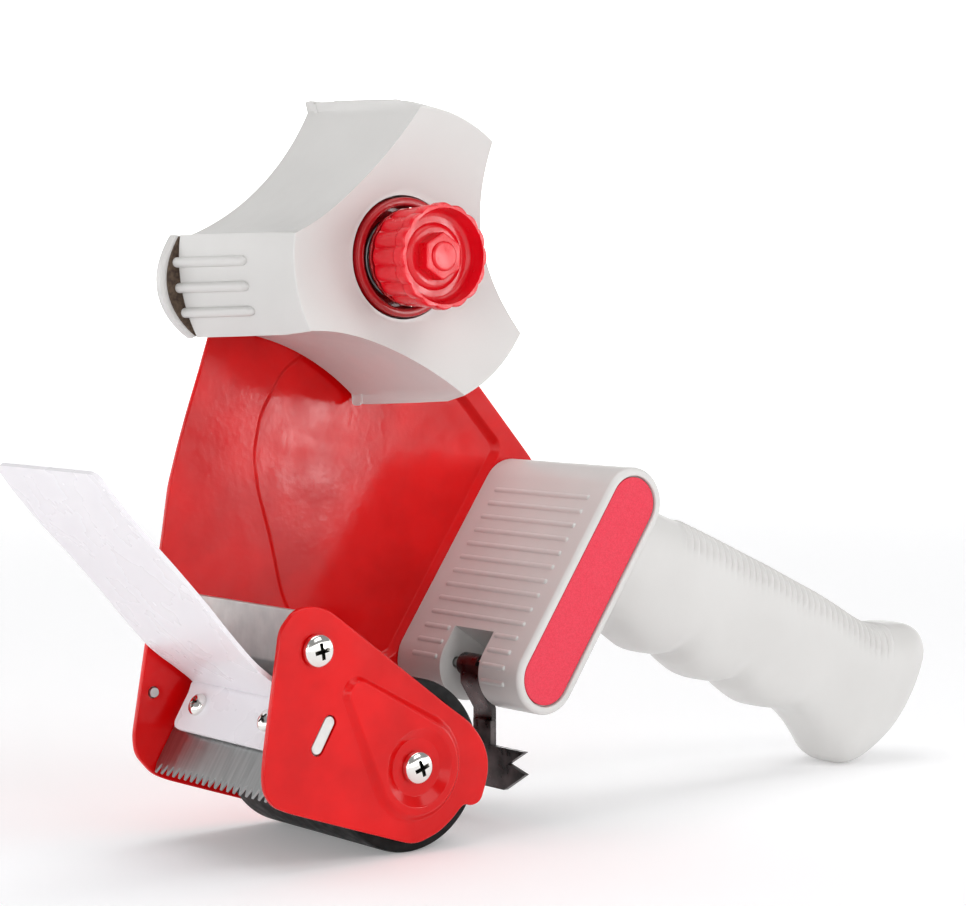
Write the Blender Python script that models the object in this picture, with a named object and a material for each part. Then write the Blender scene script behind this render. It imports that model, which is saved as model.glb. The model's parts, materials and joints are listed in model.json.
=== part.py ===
"""Hand-held packing-tape dispenser, modelled as an assembly of separate parts.

Working frame: millimetres, +Z up, X along the tool (cutting blade at -X, grip butt at +X), Y along the
axis of the tape hub and of the rubber roller, with the tension knob at -Y. The roller and the butt of the
grip stand on z = 0. Every point is shifted by SHIFT so that the origin is the bounding box's bottom centre.
"""

import math

import bmesh
import bpy
from mathutils import Vector

# ---------------------------------------------------------------- driving dimensions (mm)
SHIFT = (-55.985, -22.425)          # X and Y, working frame to part frame
CHEEK_OUT = -3.9                # outer face of the small cheek plate
CHEEK_IN = -2.4
PLATE_IN = 49.5                 # inner face of the large side plate
PLATE_OUT = 51.0
MID_Y = 23.55                   # middle of the tape path
GAP = 0.3                       # between pieces that touch

AXLE = (0.0, 20.7)              # roller axis, x and z
ROLLER_R = 20.7
TYRE_IN_R = 17.3
ROLLER_Y = (-1.3, 48.4)

HUB = (4.8, 140.4)              # hub axis
HUB_LEN = 48.8
LOBE_HALF = math.radians(18.7)
LOBE_PHASE = math.radians(10.3)
FLANK_CENTRE = 86.0             # distance of each hollow flank's arc centre from the hub axis
FLANK_R = 63.9
SPINDLE_R = 5.0

BLADE_TIP = (-40.3, 16.7)
SLOPE = (0.515, 0.857)          # direction up the blade
NORMAL = (-0.857, 0.515)        # outward from the blade
SCREW_Y = (MID_Y - 15.25, MID_Y + 15.25)

BLOCK_TOP = (70.4, 78.9)        # the two ends of the grip block's centre line
BLOCK_LOW = (42.3, 37.6)
BLOCK_R = 9.26
BLOCK_Y = (-1.0, PLATE_IN - GAP)
GRIP_ORIGIN = (80.0, 50.0)
GRIP_DIR = (0.9135, -0.4067)
GRIP_UP = (0.4067, 0.9135)
GRIP_HALF_W = 13.5

SPACER = (-27.8, 50.6)
BRAKE_PIN = (38.6, 38.4)

for old in list(bpy.data.objects):
    bpy.data.objects.remove(old, do_unlink=True)


# ---------------------------------------------------------------- materials
def material(name, colour, roughness, metallic=0.0):
    mat = bpy.data.materials.new(name)
    mat.use_nodes = True
    shader = mat.node_tree.nodes["Principled BSDF"]
    shader.inputs["Base Color"].default_value = (*colour, 1.0)
    shader.inputs["Roughness"].default_value = roughness
    shader.inputs["Metallic"].default_value = metallic
    return mat


RED_PAINT = ((0.72, 0.01, 0.01), 0.22)
RED_PLASTIC = ((0.70, 0.01, 0.03), 0.25)
LIGHT_PLASTIC = ((0.70, 0.69, 0.66), 0.35)
CHROME = ((0.80, 0.80, 0.80), 0.12, 1.0)
ZINC = ((0.62, 0.63, 0.63), 0.35, 1.0)
STEEL = ((0.45, 0.45, 0.46), 0.30, 1.0)
DARK_STEEL = ((0.12, 0.11, 0.11), 0.35, 1.0)


# ---------------------------------------------------------------- solids
def world(x, y, z):
    return Vector(((x + SHIFT[0]) / 1000, (y + SHIFT[1]) / 1000, z / 1000))


def add(name, bm, look=None, pivot=None, smooth=False):
    """Link a bmesh as an object whose origin is at pivot (working frame)."""
    bmesh.ops.recalc_face_normals(bm, faces=bm.faces)
    origin = world(*pivot) if pivot else Vector((0, 0, 0))
    bmesh.ops.translate(bm, verts=bm.verts, vec=-origin)
    mesh = bpy.data.meshes.new(name)
    bm.to_mesh(mesh)
    bm.free()
    obj = bpy.data.objects.new(name, mesh)
    obj.location = origin
    bpy.context.scene.collection.objects.link(obj)
    if look:
        mesh.materials.append(material(name, *look))
    else:
        obj.hide_render = True
        obj.display_type = "WIRE"
    if smooth:
        for poly in mesh.polygons:
            poly.use_smooth = True
        mesh.set_sharp_from_angle(angle=math.radians(35))
    return obj


def rings_solid(rings):
    """A closed solid through rings of equally many points, capped at both ends."""
    bm = bmesh.new()
    made = [[bm.verts.new(world(*p)) for p in ring] for ring in rings]
    count = len(made[0])
    for low, high in zip(made, made[1:]):
        for i in range(count):
            j = (i + 1) % count
            bm.faces.new((low[i], low[j], high[j], high[i]))
    bm.faces.new(made[0])
    bm.faces.new(list(reversed(made[-1])))
    return bm


def prism(profile, y0, y1, cuts=()):
    """A profile of (x, z) points drawn out along Y."""
    stations = [y0, *cuts, y1]
    return rings_solid([[(x, y, z) for x, z in profile] for y in stations])


def frustum(low, high, y0, y1):
    return rings_solid([[(x, y0, z) for x, z in low], [(x, y1, z) for x, z in high]])


def circle(centre, radius, count=32, phase=0.0):
    return [
        (
            centre[0] + radius * math.cos(phase + math.tau * i / count),
            centre[1] + radius * math.sin(phase + math.tau * i / count),
        )
        for i in range(count)
    ]


def capsule(a, b, radius, steps=10, end_radius=None):
    """Outline round two circles: a stadium, or a teardrop when the radii differ."""
    end_radius = radius if end_radius is None else end_radius
    angle = math.atan2(b[1] - a[1], b[0] - a[0])
    beta = math.acos((radius - end_radius) / math.dist(a, b))
    points = []
    for centre, r, start, sweep in (
        (b, end_radius, angle - beta, 2 * beta),
        (a, radius, angle + beta, math.tau - 2 * beta),
    ):
        for i in range(steps + 1):
            t = start + sweep * i / steps
            points.append((centre[0] + r * math.cos(t), centre[1] + r * math.sin(t)))
    return points


def rounded(points, reach, steps=4):
    """A polygon with every corner bent over a distance of reach along its edges."""
    out = []
    count = len(points)
    for i, corner in enumerate(points):
        here = Vector(corner)
        before = Vector(points[i - 1]) - here
        after = Vector(points[(i + 1) % count]) - here
        start = here + before * min(reach / before.length, 0.45)
        end = here + after * min(reach / after.length, 0.45)
        for k in range(steps + 1):
            t = k / steps
            out.append(tuple(start * (1 - t) ** 2 + here * 2 * t * (1 - t) + end * t * t))
    return out


def offset(points, distance):
    """Move every edge of a counter-clockwise polygon inwards by a distance."""
    area = sum(a[0] * b[1] - b[0] * a[1] for a, b in zip(points, points[1:] + points[:1]))
    sign = 1 if area > 0 else -1
    out = []
    count = len(points)
    for i, corner in enumerate(points):
        here = Vector(corner)
        before = (here - Vector(points[i - 1])).normalized()
        after = (Vector(points[(i + 1) % count]) - here).normalized()
        n0 = Vector((-before.y, before.x)) * sign
        n1 = Vector((-after.y, after.x)) * sign
        mitre = (n0 + n1).normalized()
        out.append(tuple(here + mitre * (distance / max(mitre.dot(n0), 0.4))))
    return out


def cylinder(centre, radius, y0, y1, count=32, phase=0.0):
    return prism(circle(centre, radius, count, phase), y0, y1)


def lathe(centre, profile, count=32):
    """A closed ring profile of (radius, y) points turned about a Y axis."""
    bm = bmesh.new()
    turns = []
    for i in range(count):
        a = math.tau * i / count
        spoke = []
        for radius, y in profile:
            point = world(centre[0] + radius * math.cos(a), y, centre[1] + radius * math.sin(a))
            spoke.append(bm.verts.new(point))
        turns.append(spoke)
    size = len(profile)
    for i in range(count):
        one, two = turns[i], turns[(i + 1) % count]
        for j in range(size):
            k = (j + 1) % size
            bm.faces.new((one[j], one[k], two[k], two[j]))
    return bm


def boolean(obj, cutter, operation="DIFFERENCE"):
    mod = obj.modifiers.new(operation.title(), "BOOLEAN")
    mod.operation = operation
    mod.solver = "EXACT"
    mod.object = cutter
    return obj


def cut(obj, *bodies):
    for i, bm in enumerate(bodies):
        boolean(obj, add(f"{obj.name}_cut{len(obj.modifiers)}_{i}", bm))
    return obj


def join(obj, *bodies):
    for i, bm in enumerate(bodies):
        boolean(obj, add(f"{obj.name}_join{len(obj.modifiers)}_{i}", bm), "UNION")
    return obj


def slope_point(s, n):
    """A point s up the blade from its tips and n out from its face."""
    return (
        BLADE_TIP[0] + s * SLOPE[0] + n * NORMAL[0],
        BLADE_TIP[1] + s * SLOPE[1] + n * NORMAL[1],
    )


def slope_box(s0, s1, n0, n1):
    return [slope_point(s0, n0), slope_point(s1, n0), slope_point(s1, n1), slope_point(s0, n1)]


def pan_screw(name, centre, seat, side, head_r, head_h, shank_r, length, look=CHROME):
    """A cross-recessed pan-head screw. seat is the y under the head and side is the way the head points."""
    ring = [
        (shank_r, length),
        (shank_r, 0.0),
        (head_r, 0.0),
        (head_r, -0.45 * head_h),
        (0.88 * head_r, -0.78 * head_h),
        (0.55 * head_r, -head_h),
    ]
    rings = []
    for radius, depth in ring:
        y = seat - side * depth
        rings.append([(x, y, z) for x, z in circle(centre, radius, 16)])
    obj = add(name, rings_solid(rings), look, smooth=True)
    top = seat + side * head_h
    for turn in (0.35, 0.35 + math.pi / 2):
        ends = []
        for sign in (1, -1):
            reach = sign * 0.52 * head_r
            ends.append((centre[0] + reach * math.cos(turn), centre[1] + reach * math.sin(turn)))
        bar = capsule(ends[0], ends[1], 0.13 * head_r, 2)
        cut(obj, prism(bar, top - side * 0.5 * head_h, top + side * 1.0))
    return obj


def coil(name, centre, radius, wire, y0, y1, turns, look, pivot=None):
    """A helical spring about a Y axis."""
    rings = []
    steps = int(turns * 14)
    for i in range(steps + 1):
        t = i / steps
        a = math.tau * turns * t
        y = y0 + wire + (y1 - y0 - 2 * wire) * t
        ring = []
        for k in range(5):
            b = math.tau * k / 5
            r = radius + wire * math.cos(b)
            point = (centre[0] + r * math.cos(a), y + wire * math.sin(b), centre[1] + r * math.sin(a))
            ring.append(point)
        rings.append(ring)
    return add(name, rings_solid(rings), look, pivot, smooth=True)


# ---------------------------------------------------------------- side plate and cheek plate
FOOT_OUTLINE = [
    (16.4, 29.6), (20.0, 25.1), (21.6, 21.0), (21.7, 17.0), (20.5, 13.0), (19.3, 10.2), (16.6, 9.4),
    (14.2, 10.3), (10.9, 7.0), (6.8, 4.3), (1.5, 2.6), (-1.5, 2.6), (-6.1, 4.1), (-20.8, 9.0),
    (-35.6, 14.0), (-39.8, 15.9), (-42.1, 19.4),
]
CHEEK = rounded(
    [*FOOT_OUTLINE, (-42.4, 23.4), (-41.6, 29.8), (-38.5, 48.8), (-37.4, 56.0), (-33.6, 60.2),
     (-28.6, 61.0), (-24.0, 59.6), (9.3, 34.6)], 1.5, 2)
TEARDROP_TOP = (-16.6, 39.6)
SLOT_ENDS = (slope_point(16.2, -5.0), slope_point(22.8, -5.0))


def teardrop(inset):
    return capsule(AXLE, TEARDROP_TOP, 13.2 - inset, 12, 4.2 - 0.6 * inset)


def cheek_plate():
    obj = add("cheek_plate", prism(CHEEK, CHEEK_OUT, CHEEK_IN), RED_PAINT)
    join(obj, frustum(teardrop(0.0), teardrop(1.6), CHEEK_OUT + 0.6, CHEEK_OUT - 1.6))
    cut(obj, frustum(teardrop(1.3), teardrop(2.9), CHEEK_IN + 0.1, CHEEK_IN - 1.6))
    join(obj, cylinder(AXLE, 9.4, CHEEK_OUT - 1.5, CHEEK_IN - 0.05, 40))
    cut(
        obj,
        frustum(circle(AXLE, 8.3, 40), circle(AXLE, 7.0, 40), CHEEK_OUT - 2.2, CHEEK_OUT),
        cylinder(AXLE, 2.4, -9, 3, 24),
        cylinder(SPACER, 2.2, -9, 3, 24),
        prism(capsule(*SLOT_ENDS, 1.8, 8), -9, 3),
    )
    return obj


PLATE_LEFT = [
    (-44.3, 21.0), (-44.9, 25.6), (-41.0, 47.7), (-36.2, 73.1), (-34.2, 85.8), (-31.6, 94.7),
    (-29.1, 102.4), (-25.3, 113.0),
]
PANEL = [
    (6.0, 37.5), (32.0, 37.5), (68.6, 91.6), (55.0, 106.5), (41.0, 116.5), (27.0, 122.5), (10.0, 121.5),
    (-2.0, 113.6), (-8.8, 102.5), (-10.9, 92.5), (-9.7, 83.0), (-6.5, 72.5), (-3.0, 57.0),
]


def panel(inset):
    return rounded(offset(PANEL, inset), 3.4 - 0.6 * inset, 2)


def side_plate():
    left = math.atan2(0.29, -0.957)
    right = math.atan2(0.67, 0.742)
    crown = []
    for i in range(13):
        a = left + (right - left) * i / 12
        crown.append((HUB[0] + 20.0 * math.cos(a), HUB[1] + 20.0 * math.sin(a)))
    lower = [(x, z) for x, z in FOOT_OUTLINE if x < 20.8]
    outline = [
        *crown, (77.3, 88.6), (81.6, 82.6), (79.6, 77.0), (51.0, 34.6), (44.0, 28.2), (30.0, 24.6),
        *lower[4:-1], *PLATE_LEFT,
    ]
    outline = rounded(outline, 2.0, 2)
    obj = add("side_plate", prism(outline, PLATE_IN, PLATE_OUT), RED_PAINT)
    join(obj, frustum(panel(0.0), panel(3.2), PLATE_OUT - 0.4, PLATE_OUT + 1.8))
    cut(obj, frustum(panel(0.9), panel(4.1), PLATE_IN - 0.1, PLATE_IN + 1.8))
    holes = [cylinder(AXLE, 2.4, 45, 60, 24), cylinder(SPACER, 2.2, 45, 60, 24)]
    holes.append(prism(capsule(*SLOT_ENDS, 1.8, 8), 45, 60))
    holes.append(cylinder(HUB, 5.3, 45, 60, 32))
    holes.append(cylinder((-39.4, 35.9), 1.5, 45, 60, 16))
    holes.extend(cylinder(block_point(s, n), 2.0, 45, 60, 24) for s, n in HANDLE_SCREWS)
    cut(obj, *holes)
    return obj


# ---------------------------------------------------------------- blade, bridge, flap
def bridge_sheet():
    outer = [(-32.3, 60.0), (-32.3, 47.4), (-27.5, 42.2), slope_point(24.5, -0.9), slope_point(11.0, -0.9)]
    inner = [slope_point(11.0, -1.9), slope_point(24.9, -1.9), (-26.3, 42.6), (-31.2, 47.9), (-31.2, 60.0)]
    obj = add("bridge_sheet", prism([*outer, *inner], CHEEK_IN + GAP, PLATE_IN - GAP), ZINC)
    cut(obj, *[slope_hole(y, 1.8, -3.0, 1.0) for y in SCREW_Y])
    return obj


def slope_hole(y, radius, n0, n1, count=20):
    """A round hole or peg square to the blade."""
    rings = []
    for n in (n0, n1):
        ring = []
        for i in range(count):
            a = math.tau * i / count
            x, z = slope_point(18.0 + radius * math.cos(a), n)
            ring.append((x, y + radius * math.sin(a), z))
        rings.append(ring)
    return rings_solid(rings)


def clamp_bar():
    obj = add("clamp_bar", prism(slope_box(13.0, 24.2, -6.9, -2.2), CHEEK_IN + GAP, PLATE_IN - GAP), ZINC)
    join(obj, prism(capsule(*SLOT_ENDS, 1.5, 8), CHEEK_OUT + 0.2, PLATE_OUT - 0.2))
    cut(obj, *[slope_hole(y, 1.6, -5.9, -1.0) for y in SCREW_Y])
    return obj


def blade():
    """A thin strip whose lower edge is cut into points."""
    y0, y1 = CHEEK_IN + GAP, PLATE_IN - GAP
    count = 18
    pitch = (y1 - y0) / count
    edge = []
    for i in range(count):
        edge.append((y0 + pitch * i, 2.4))
        edge.append((y0 + pitch * (i + 0.5), 0.0))
    edge.append((y1, 2.4))
    edge.extend([(y1, 22.0), (y0, 22.0)])
    rings = []
    for n in (-0.6, 0.0):
        ring = []
        for y, s in edge:
            x, z = slope_point(s, n)
            ring.append((x, y, z))
        rings.append(ring)
    obj = add("blade", rings_solid(rings), STEEL)
    cut(obj, *[slope_hole(y, 1.8, -2.0, 1.0) for y in SCREW_Y])
    return obj


FLAP_Y = (0.2, 46.9)
FLAP_LINE = [
    (-30.4, 39.6), (-34.5, 42.4), (-38.6, 45.4), (-42.8, 49.0), (-49.0, 55.8), (-54.8, 62.6),
    (-63.0, 71.6), (-71.2, 80.2), (-77.4, 87.4), (-81.8, 93.2),
]


def strip(line, thickness):
    """Outline of a sheet of even thickness laid along a line, on the line's right-hand side."""
    back = []
    for i, here in enumerate(line):
        a = Vector(line[max(i - 1, 0)])
        b = Vector(line[min(i + 1, len(line) - 1)])
        along = (b - a).normalized()
        back.append((here[0] + along.y * thickness, here[1] - along.x * thickness))
    return [*line, *reversed(back)]


def flap():
    foot = rounded(slope_box(11.2, 24.0, 0.3, 2.1), 0.4, 2)
    obj = add("flap_foot", prism(foot, 1.2, 45.9), ((0.86, 0.87, 0.88), 0.25))
    cut(obj, *[slope_hole(y, 1.8, -1.0, 4.0) for y in SCREW_Y])
    film = prism(strip(FLAP_LINE, 1.7), *FLAP_Y)
    add("flap_film", film, ((0.88, 0.89, 0.90), 0.25), (FLAP_LINE[0][0], MID_Y, FLAP_LINE[0][1]))


def flap_screws():
    """Pan-head screws square to the blade, through the foot and into the clamp bar."""
    for name, y in zip(("flap_screw_near", "flap_screw_far"), SCREW_Y):
        levels = [(1.3, -5.4), (1.3, 2.4), (2.8, 2.4), (2.8, 3.3), (2.4, 4.0), (1.4, 4.4)]
        rings = []
        for radius, n in levels:
            ring = []
            for i in range(16):
                a = math.tau * i / 16
                x, z = slope_point(18.0 + radius * math.cos(a), n)
                ring.append((x, y + radius * math.sin(a), z))
            rings.append(ring)
        obj = add(name, rings_solid(rings), CHROME, smooth=True)
        for half, floor in (((1.4, 0.35), 3.4), ((0.35, 1.4), 3.5)):
            ends = []
            for n in (floor, 5.2):
                ring = []
                for ds, dy in ((-1, -1), (1, -1), (1, 1), (-1, 1)):
                    x, z = slope_point(18.0 + ds * half[0], n)
                    ring.append((x, y + dy * half[1], z))
                ends.append(ring)
            cut(obj, rings_solid(ends))


# ---------------------------------------------------------------- roller
def roller():
    y0, y1 = ROLLER_Y
    pivot = (AXLE[0], MID_Y, AXLE[1])
    tyre = [(TYRE_IN_R, y0), (ROLLER_R - 0.6, y0), (ROLLER_R, y0 + 0.6), (ROLLER_R, y1 - 0.6),
            (ROLLER_R - 0.6, y1), (TYRE_IN_R, y1)]
    add("roller_tyre", lathe(AXLE, tyre, 48), ((0.02, 0.02, 0.02), 0.45), pivot, True)
    core = [
        (5.8, y0 + 0.8), (8.0, y0 + 0.8), (8.0, 19.0), (14.6, 19.0), (14.6, y0 + 0.4), (TYRE_IN_R - 0.2, y0 + 0.4),
        (TYRE_IN_R - 0.2, y1 - 0.4), (14.6, y1 - 0.4), (14.6, 28.0), (8.0, 28.0), (8.0, y1 - 0.8), (5.8, y1 - 0.8),
    ]
    add("roller_core", lathe(AXLE, core), ((0.75, 0.74, 0.72), 0.5), pivot, True)
    for name, mouth, way in (("roller_bush_near", y0, 1), ("roller_bush_far", y1, -1)):
        bush = [
            (4.1, mouth + way * 0.1), (7.4, mouth + way * 0.1), (7.4, mouth + way * 0.6),
            (5.6, mouth + way * 0.6), (5.6, mouth + way * 9.0), (4.1, mouth + way * 9.0),
        ]
        add(name, lathe(AXLE, bush, 24), ((0.9, 0.9, 0.88), 0.4), pivot, True)
    axle = add("axle", cylinder(AXLE, 4.0, CHEEK_IN + GAP, PLATE_IN - GAP, 40), STEEL, smooth=True)
    cut(axle, cylinder(AXLE, 2.1, CHEEK_IN - 1, 11.0, 24), cylinder(AXLE, 2.1, 37.0, PLATE_IN + 1, 24))
    pan_screw("axle_screw_near", AXLE, CHEEK_OUT - GAP, -1, 4.0, 2.5, 1.8, 12.0)
    pan_screw("axle_screw_far", AXLE, PLATE_OUT + GAP, 1, 4.0, 2.5, 1.8, 12.0)
    rod = add("spacer_rod", cylinder(SPACER, 2.9, CHEEK_IN + GAP, PLATE_IN - GAP, 24), ZINC, smooth=True)
    cut(rod, cylinder(SPACER, 1.9, CHEEK_IN - 1, 9.0, 20), cylinder(SPACER, 1.9, 39.0, PLATE_IN + 1, 20))
    pan_screw("spacer_screw_near", SPACER, CHEEK_OUT - GAP, -1, 3.9, 2.4, 1.6, 10.0)
    pan_screw("spacer_screw_far", SPACER, PLATE_OUT + GAP, 1, 3.9, 2.4, 1.6, 10.0)
    rivet = [[(x, y, z) for x, z in circle((-39.4, 35.9), r, 16)]
             for r, y in ((1.2, PLATE_IN - 0.5), (1.2, PLATE_OUT + 0.2), (2.2, PLATE_OUT + 0.2),
                          (1.8, PLATE_OUT + 1.0))]
    add("plate_rivet", rings_solid(rivet), ZINC, smooth=True)


# ---------------------------------------------------------------- tape hub
def star(lobe_r, inset=0.0, bulge=0.0):
    """Three-lobed outline: round lobe ends joined by hollow flanks."""
    points = []
    for k in range(3):
        mid = LOBE_PHASE + math.pi + k * math.tau / 3
        half = LOBE_HALF - inset / lobe_r
        for i in range(9):
            t = -1 + 2 * i / 8
            a = mid + half * t
            r = lobe_r - inset + (bulge if k == 0 else 0.0) * math.cos(t * math.pi / 2)
            points.append((HUB[0] + r * math.cos(a), HUB[1] + r * math.sin(a)))
        flank = mid + math.pi / 3
        cx, cz = FLANK_CENTRE * math.cos(flank), FLANK_CENTRE * math.sin(flank)
        arc_r = FLANK_R + inset
        start = Vector((points[-1][0] - HUB[0] - cx, points[-1][1] - HUB[1] - cz))
        for i in range(1, 12):
            spread = 2 * math.pi / 3 - 2 * half
            end_a = mid + half + spread
            end = Vector(((lobe_r - inset) * math.cos(end_a) - cx, (lobe_r - inset) * math.sin(end_a) - cz))
            way = start.lerp(end, i / 12).normalized() * arc_r
            points.append((HUB[0] + cx + way.x, HUB[1] + cz + way.y))
    return points


def hub():
    levels = [(-0.6, 35.1, 0.0), (0.7, 35.6, 0.0), (3.0, 36.3, 0.0), (7.5, 37.0, 0.0), (45.6, 39.0, 0.0)]
    levels += [(45.6, 39.3, 2.9), (47.9, 39.3, 2.9), (HUB_LEN, 38.9, 2.5)]
    rings = [[(x, y, z) for x, z in star(r, 0.0, b)] for y, r, b in levels]
    pivot = (HUB[0], 24.0, HUB[1])
    obj = add("hub", rings_solid(rings), LIGHT_PLASTIC, pivot)
    dish = [(44.0, -6.0), (44.0, -2.85), (22.1, 4.1), (14.6, 6.6)]
    cut(obj, rings_solid([[(x, y, z) for x, z in circle(HUB, r, 72)] for r, y in dish]))
    cavity = [(10.0, 36.9, 2.4), (60.0, 38.6, 2.4)]
    cut(obj, rings_solid([[(x, y, z) for x, z in star(r, i)] for y, r, i in cavity]))
    join(obj, cylinder(HUB, 17.6, 6.2, 15.2, 40), cylinder(HUB, 8.4, 14.0, 43.6, 28))
    cut(obj, cylinder(HUB, 14.7, 5.0, 13.0, 40), cylinder(HUB, SPINDLE_R + 0.15, 0, 60, 28))
    for k in range(3):
        for side in (-1, 0, 1):
            a = LOBE_PHASE + math.pi + k * math.tau / 3 + side * math.radians(9)
            rings = []
            for y, lift, size in ((16.4, 37.1, 0.5), (17.4, 37.5, 1.1), (45.62, 38.9, 1.2)):
                centre = (HUB[0] + lift * math.cos(a), HUB[1] + lift * math.sin(a))
                rings.append([(x, y, z) for x, z in circle(centre, size, 10, a)])
            join(obj, rings_solid(rings))
    return obj


# ---------------------------------------------------------------- tension stack
def tension_stack():
    pivot = (HUB[0], -3.0, HUB[1])
    pad = [(6.0, 11.5), (13.4, 11.5), (13.4, 12.7), (6.0, 12.7)]
    add("friction_pad", lathe(HUB, pad, 28), ((0.25, 0.24, 0.22), 0.9), smooth=True)
    cup = [
        (5.4, 9.9), (12.1, 9.9), (12.1, 5.4), (12.5, 5.0), (13.8, 5.0), (14.2, 5.5), (14.2, 10.6),
        (13.6, 11.2), (5.4, 11.2),
    ]
    add("pressure_cup", lathe(HUB, cup, 36), RED_PLASTIC, smooth=True)
    coil("tension_spring", HUB, 9.8, 0.55, 4.5, 9.7, 2.2, STEEL)
    washer = [(5.4, 3.5), (11.6, 3.5), (11.6, 4.3), (5.4, 4.3)]
    add("thrust_washer", lathe(HUB, washer, 28), CHROME, (HUB[0], 3.9, HUB[1]), True)

    count = 18 * 4
    levels = [(3.1, 11.6), (2.6, 12.1), (-9.2, 12.5), (-9.9, 12.1)]
    rings = []
    for y, radius in levels:
        ring = []
        for i in range(count):
            a = math.tau * i / count
            r = radius - 0.42 * (1 - abs(math.cos(9 * a)))
            ring.append((HUB[0] + r * math.cos(a), y, HUB[1] + r * math.sin(a)))
        rings.append(ring)
    knob = add("tension_knob", rings_solid(rings), RED_PLASTIC, pivot, True)
    cut(knob, frustum(circle(HUB, 10.9, 36), circle(HUB, 9.9, 36), -10.4, -5.6))
    boss = frustum(circle(HUB, 5.6, 6, 0.5), circle(HUB, 5.2, 6, 0.5), -5.0, -9.9)
    join(knob, boss, frustum(circle(HUB, 3.6, 24), circle(HUB, 3.2, 24), -9.5, -10.25))
    cut(knob, cylinder(HUB, 3.3, -8.2, 5.0, 24), cylinder(HUB, 6.4, -2.4, 5.0, 6))
    nut = add("knob_nut", cylinder(HUB, 6.1, -2.1, 2.9, 6), ZINC, pivot)
    cut(nut, cylinder(HUB, 3.1, -5, 5, 24))

    shaft = [(3.0, -4.2), (3.0, 4.6), (SPINDLE_R, 4.61), (SPINDLE_R, PLATE_OUT + 0.3), (9.0, PLATE_OUT + 0.3),
             (8.6, PLATE_OUT + 1.6), (6.6, PLATE_OUT + 2.8), (3.6, PLATE_OUT + 3.4)]
    rings = [[(x, y, z) for x, z in circle(HUB, r, 28)] for r, y in shaft]
    add("spindle", rings_solid(rings), ZINC, smooth=True)
    nut = add("spindle_nut", cylinder(HUB, 8.2, 45.4, 49.2, 6), ZINC)
    cut(nut, cylinder(HUB, 5.2, 40, 55, 32))
    ring = [(5.3, 44.2), (8.6, 44.2), (8.6, 45.1), (5.3, 45.1)]
    add("spindle_washer", lathe(HUB, ring, 24), CHROME, smooth=True)


# ---------------------------------------------------------------- grip and its block
HANDLE_SCREWS = ((4.0, 0.0), (26.0, 0.0), (51.5, -2.5))


def block_point(s, n):
    """A point s down the block's centre line and n forward of it."""
    dx, dz = BLOCK_LOW[0] - BLOCK_TOP[0], BLOCK_LOW[1] - BLOCK_TOP[1]
    long = math.hypot(dx, dz)
    dx, dz = dx / long, dz / long
    return (BLOCK_TOP[0] + s * dx + n * dz, BLOCK_TOP[1] + s * dz - n * dx)


def block_box(s0, s1, n0, n1):
    return [block_point(s0, n0), block_point(s1, n0), block_point(s1, n1), block_point(s0, n1)]


GRIP_SECTIONS = [
    # along, top, bottom, share of the full half width
    (-14.0, 26.6, -1.6, 0.80), (-6.0, 28.4, -3.6, 0.92), (2.0, 28.6, -4.6, 0.98), (8.0, 28.8, -5.8, 1.00),
    (14.0, 28.9, -6.9, 1.00), (19.5, 29.0, -5.9, 1.00), (24.0, 29.0, -3.7, 1.00), (29.0, 29.1, -5.7, 1.00),
    (35.0, 29.1, -6.9, 1.00), (41.8, 29.1, -5.9, 1.00), (46.8, 29.1, -3.5, 1.00), (52.0, 29.0, -5.4, 1.00),
    (59.0, 28.9, -6.7, 1.00), (65.5, 28.8, -5.6, 1.00), (70.6, 28.5, -3.9, 1.00), (76.0, 28.1, -4.2, 1.00),
    (82.0, 27.6, -6.4, 1.00), (88.3, 27.5, -9.4, 1.00), (92.5, 28.0, -11.4, 1.02), (96.7, 30.2, -11.6, 1.02),
    (100.7, 32.0, -9.4, 1.01), (104.3, 33.3, -5.4, 1.00), (107.2, 33.6, -0.6, 0.96), (109.2, 32.7, 6.8, 0.88),
    (110.9, 30.8, 15.0, 0.72), (111.8, 28.2, 21.5, 0.42),
]


def grip_rings(count=28):
    rings = []
    for u, top, bottom, share in GRIP_SECTIONS:
        middle, half = (top + bottom) / 2, (top - bottom) / 2
        ring = []
        for i in range(count):
            a = math.tau * i / count
            c, s = math.cos(a), math.sin(a)
            pinch = 1 - 0.13 * max(-s, 0.0) * (0.5 + 0.5 * math.cos(math.tau * (u - 13.0) / 23.0))
            across = math.copysign(abs(c) ** 0.62, c) * GRIP_HALF_W * share * pinch
            v = middle + math.copysign(abs(s) ** 0.75, s) * half
            x = GRIP_ORIGIN[0] + u * GRIP_DIR[0] + v * GRIP_UP[0]
            z = GRIP_ORIGIN[1] + u * GRIP_DIR[1] + v * GRIP_UP[1]
            ring.append((x, MID_Y + across, z))
        rings.append(ring)
    return rings


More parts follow.
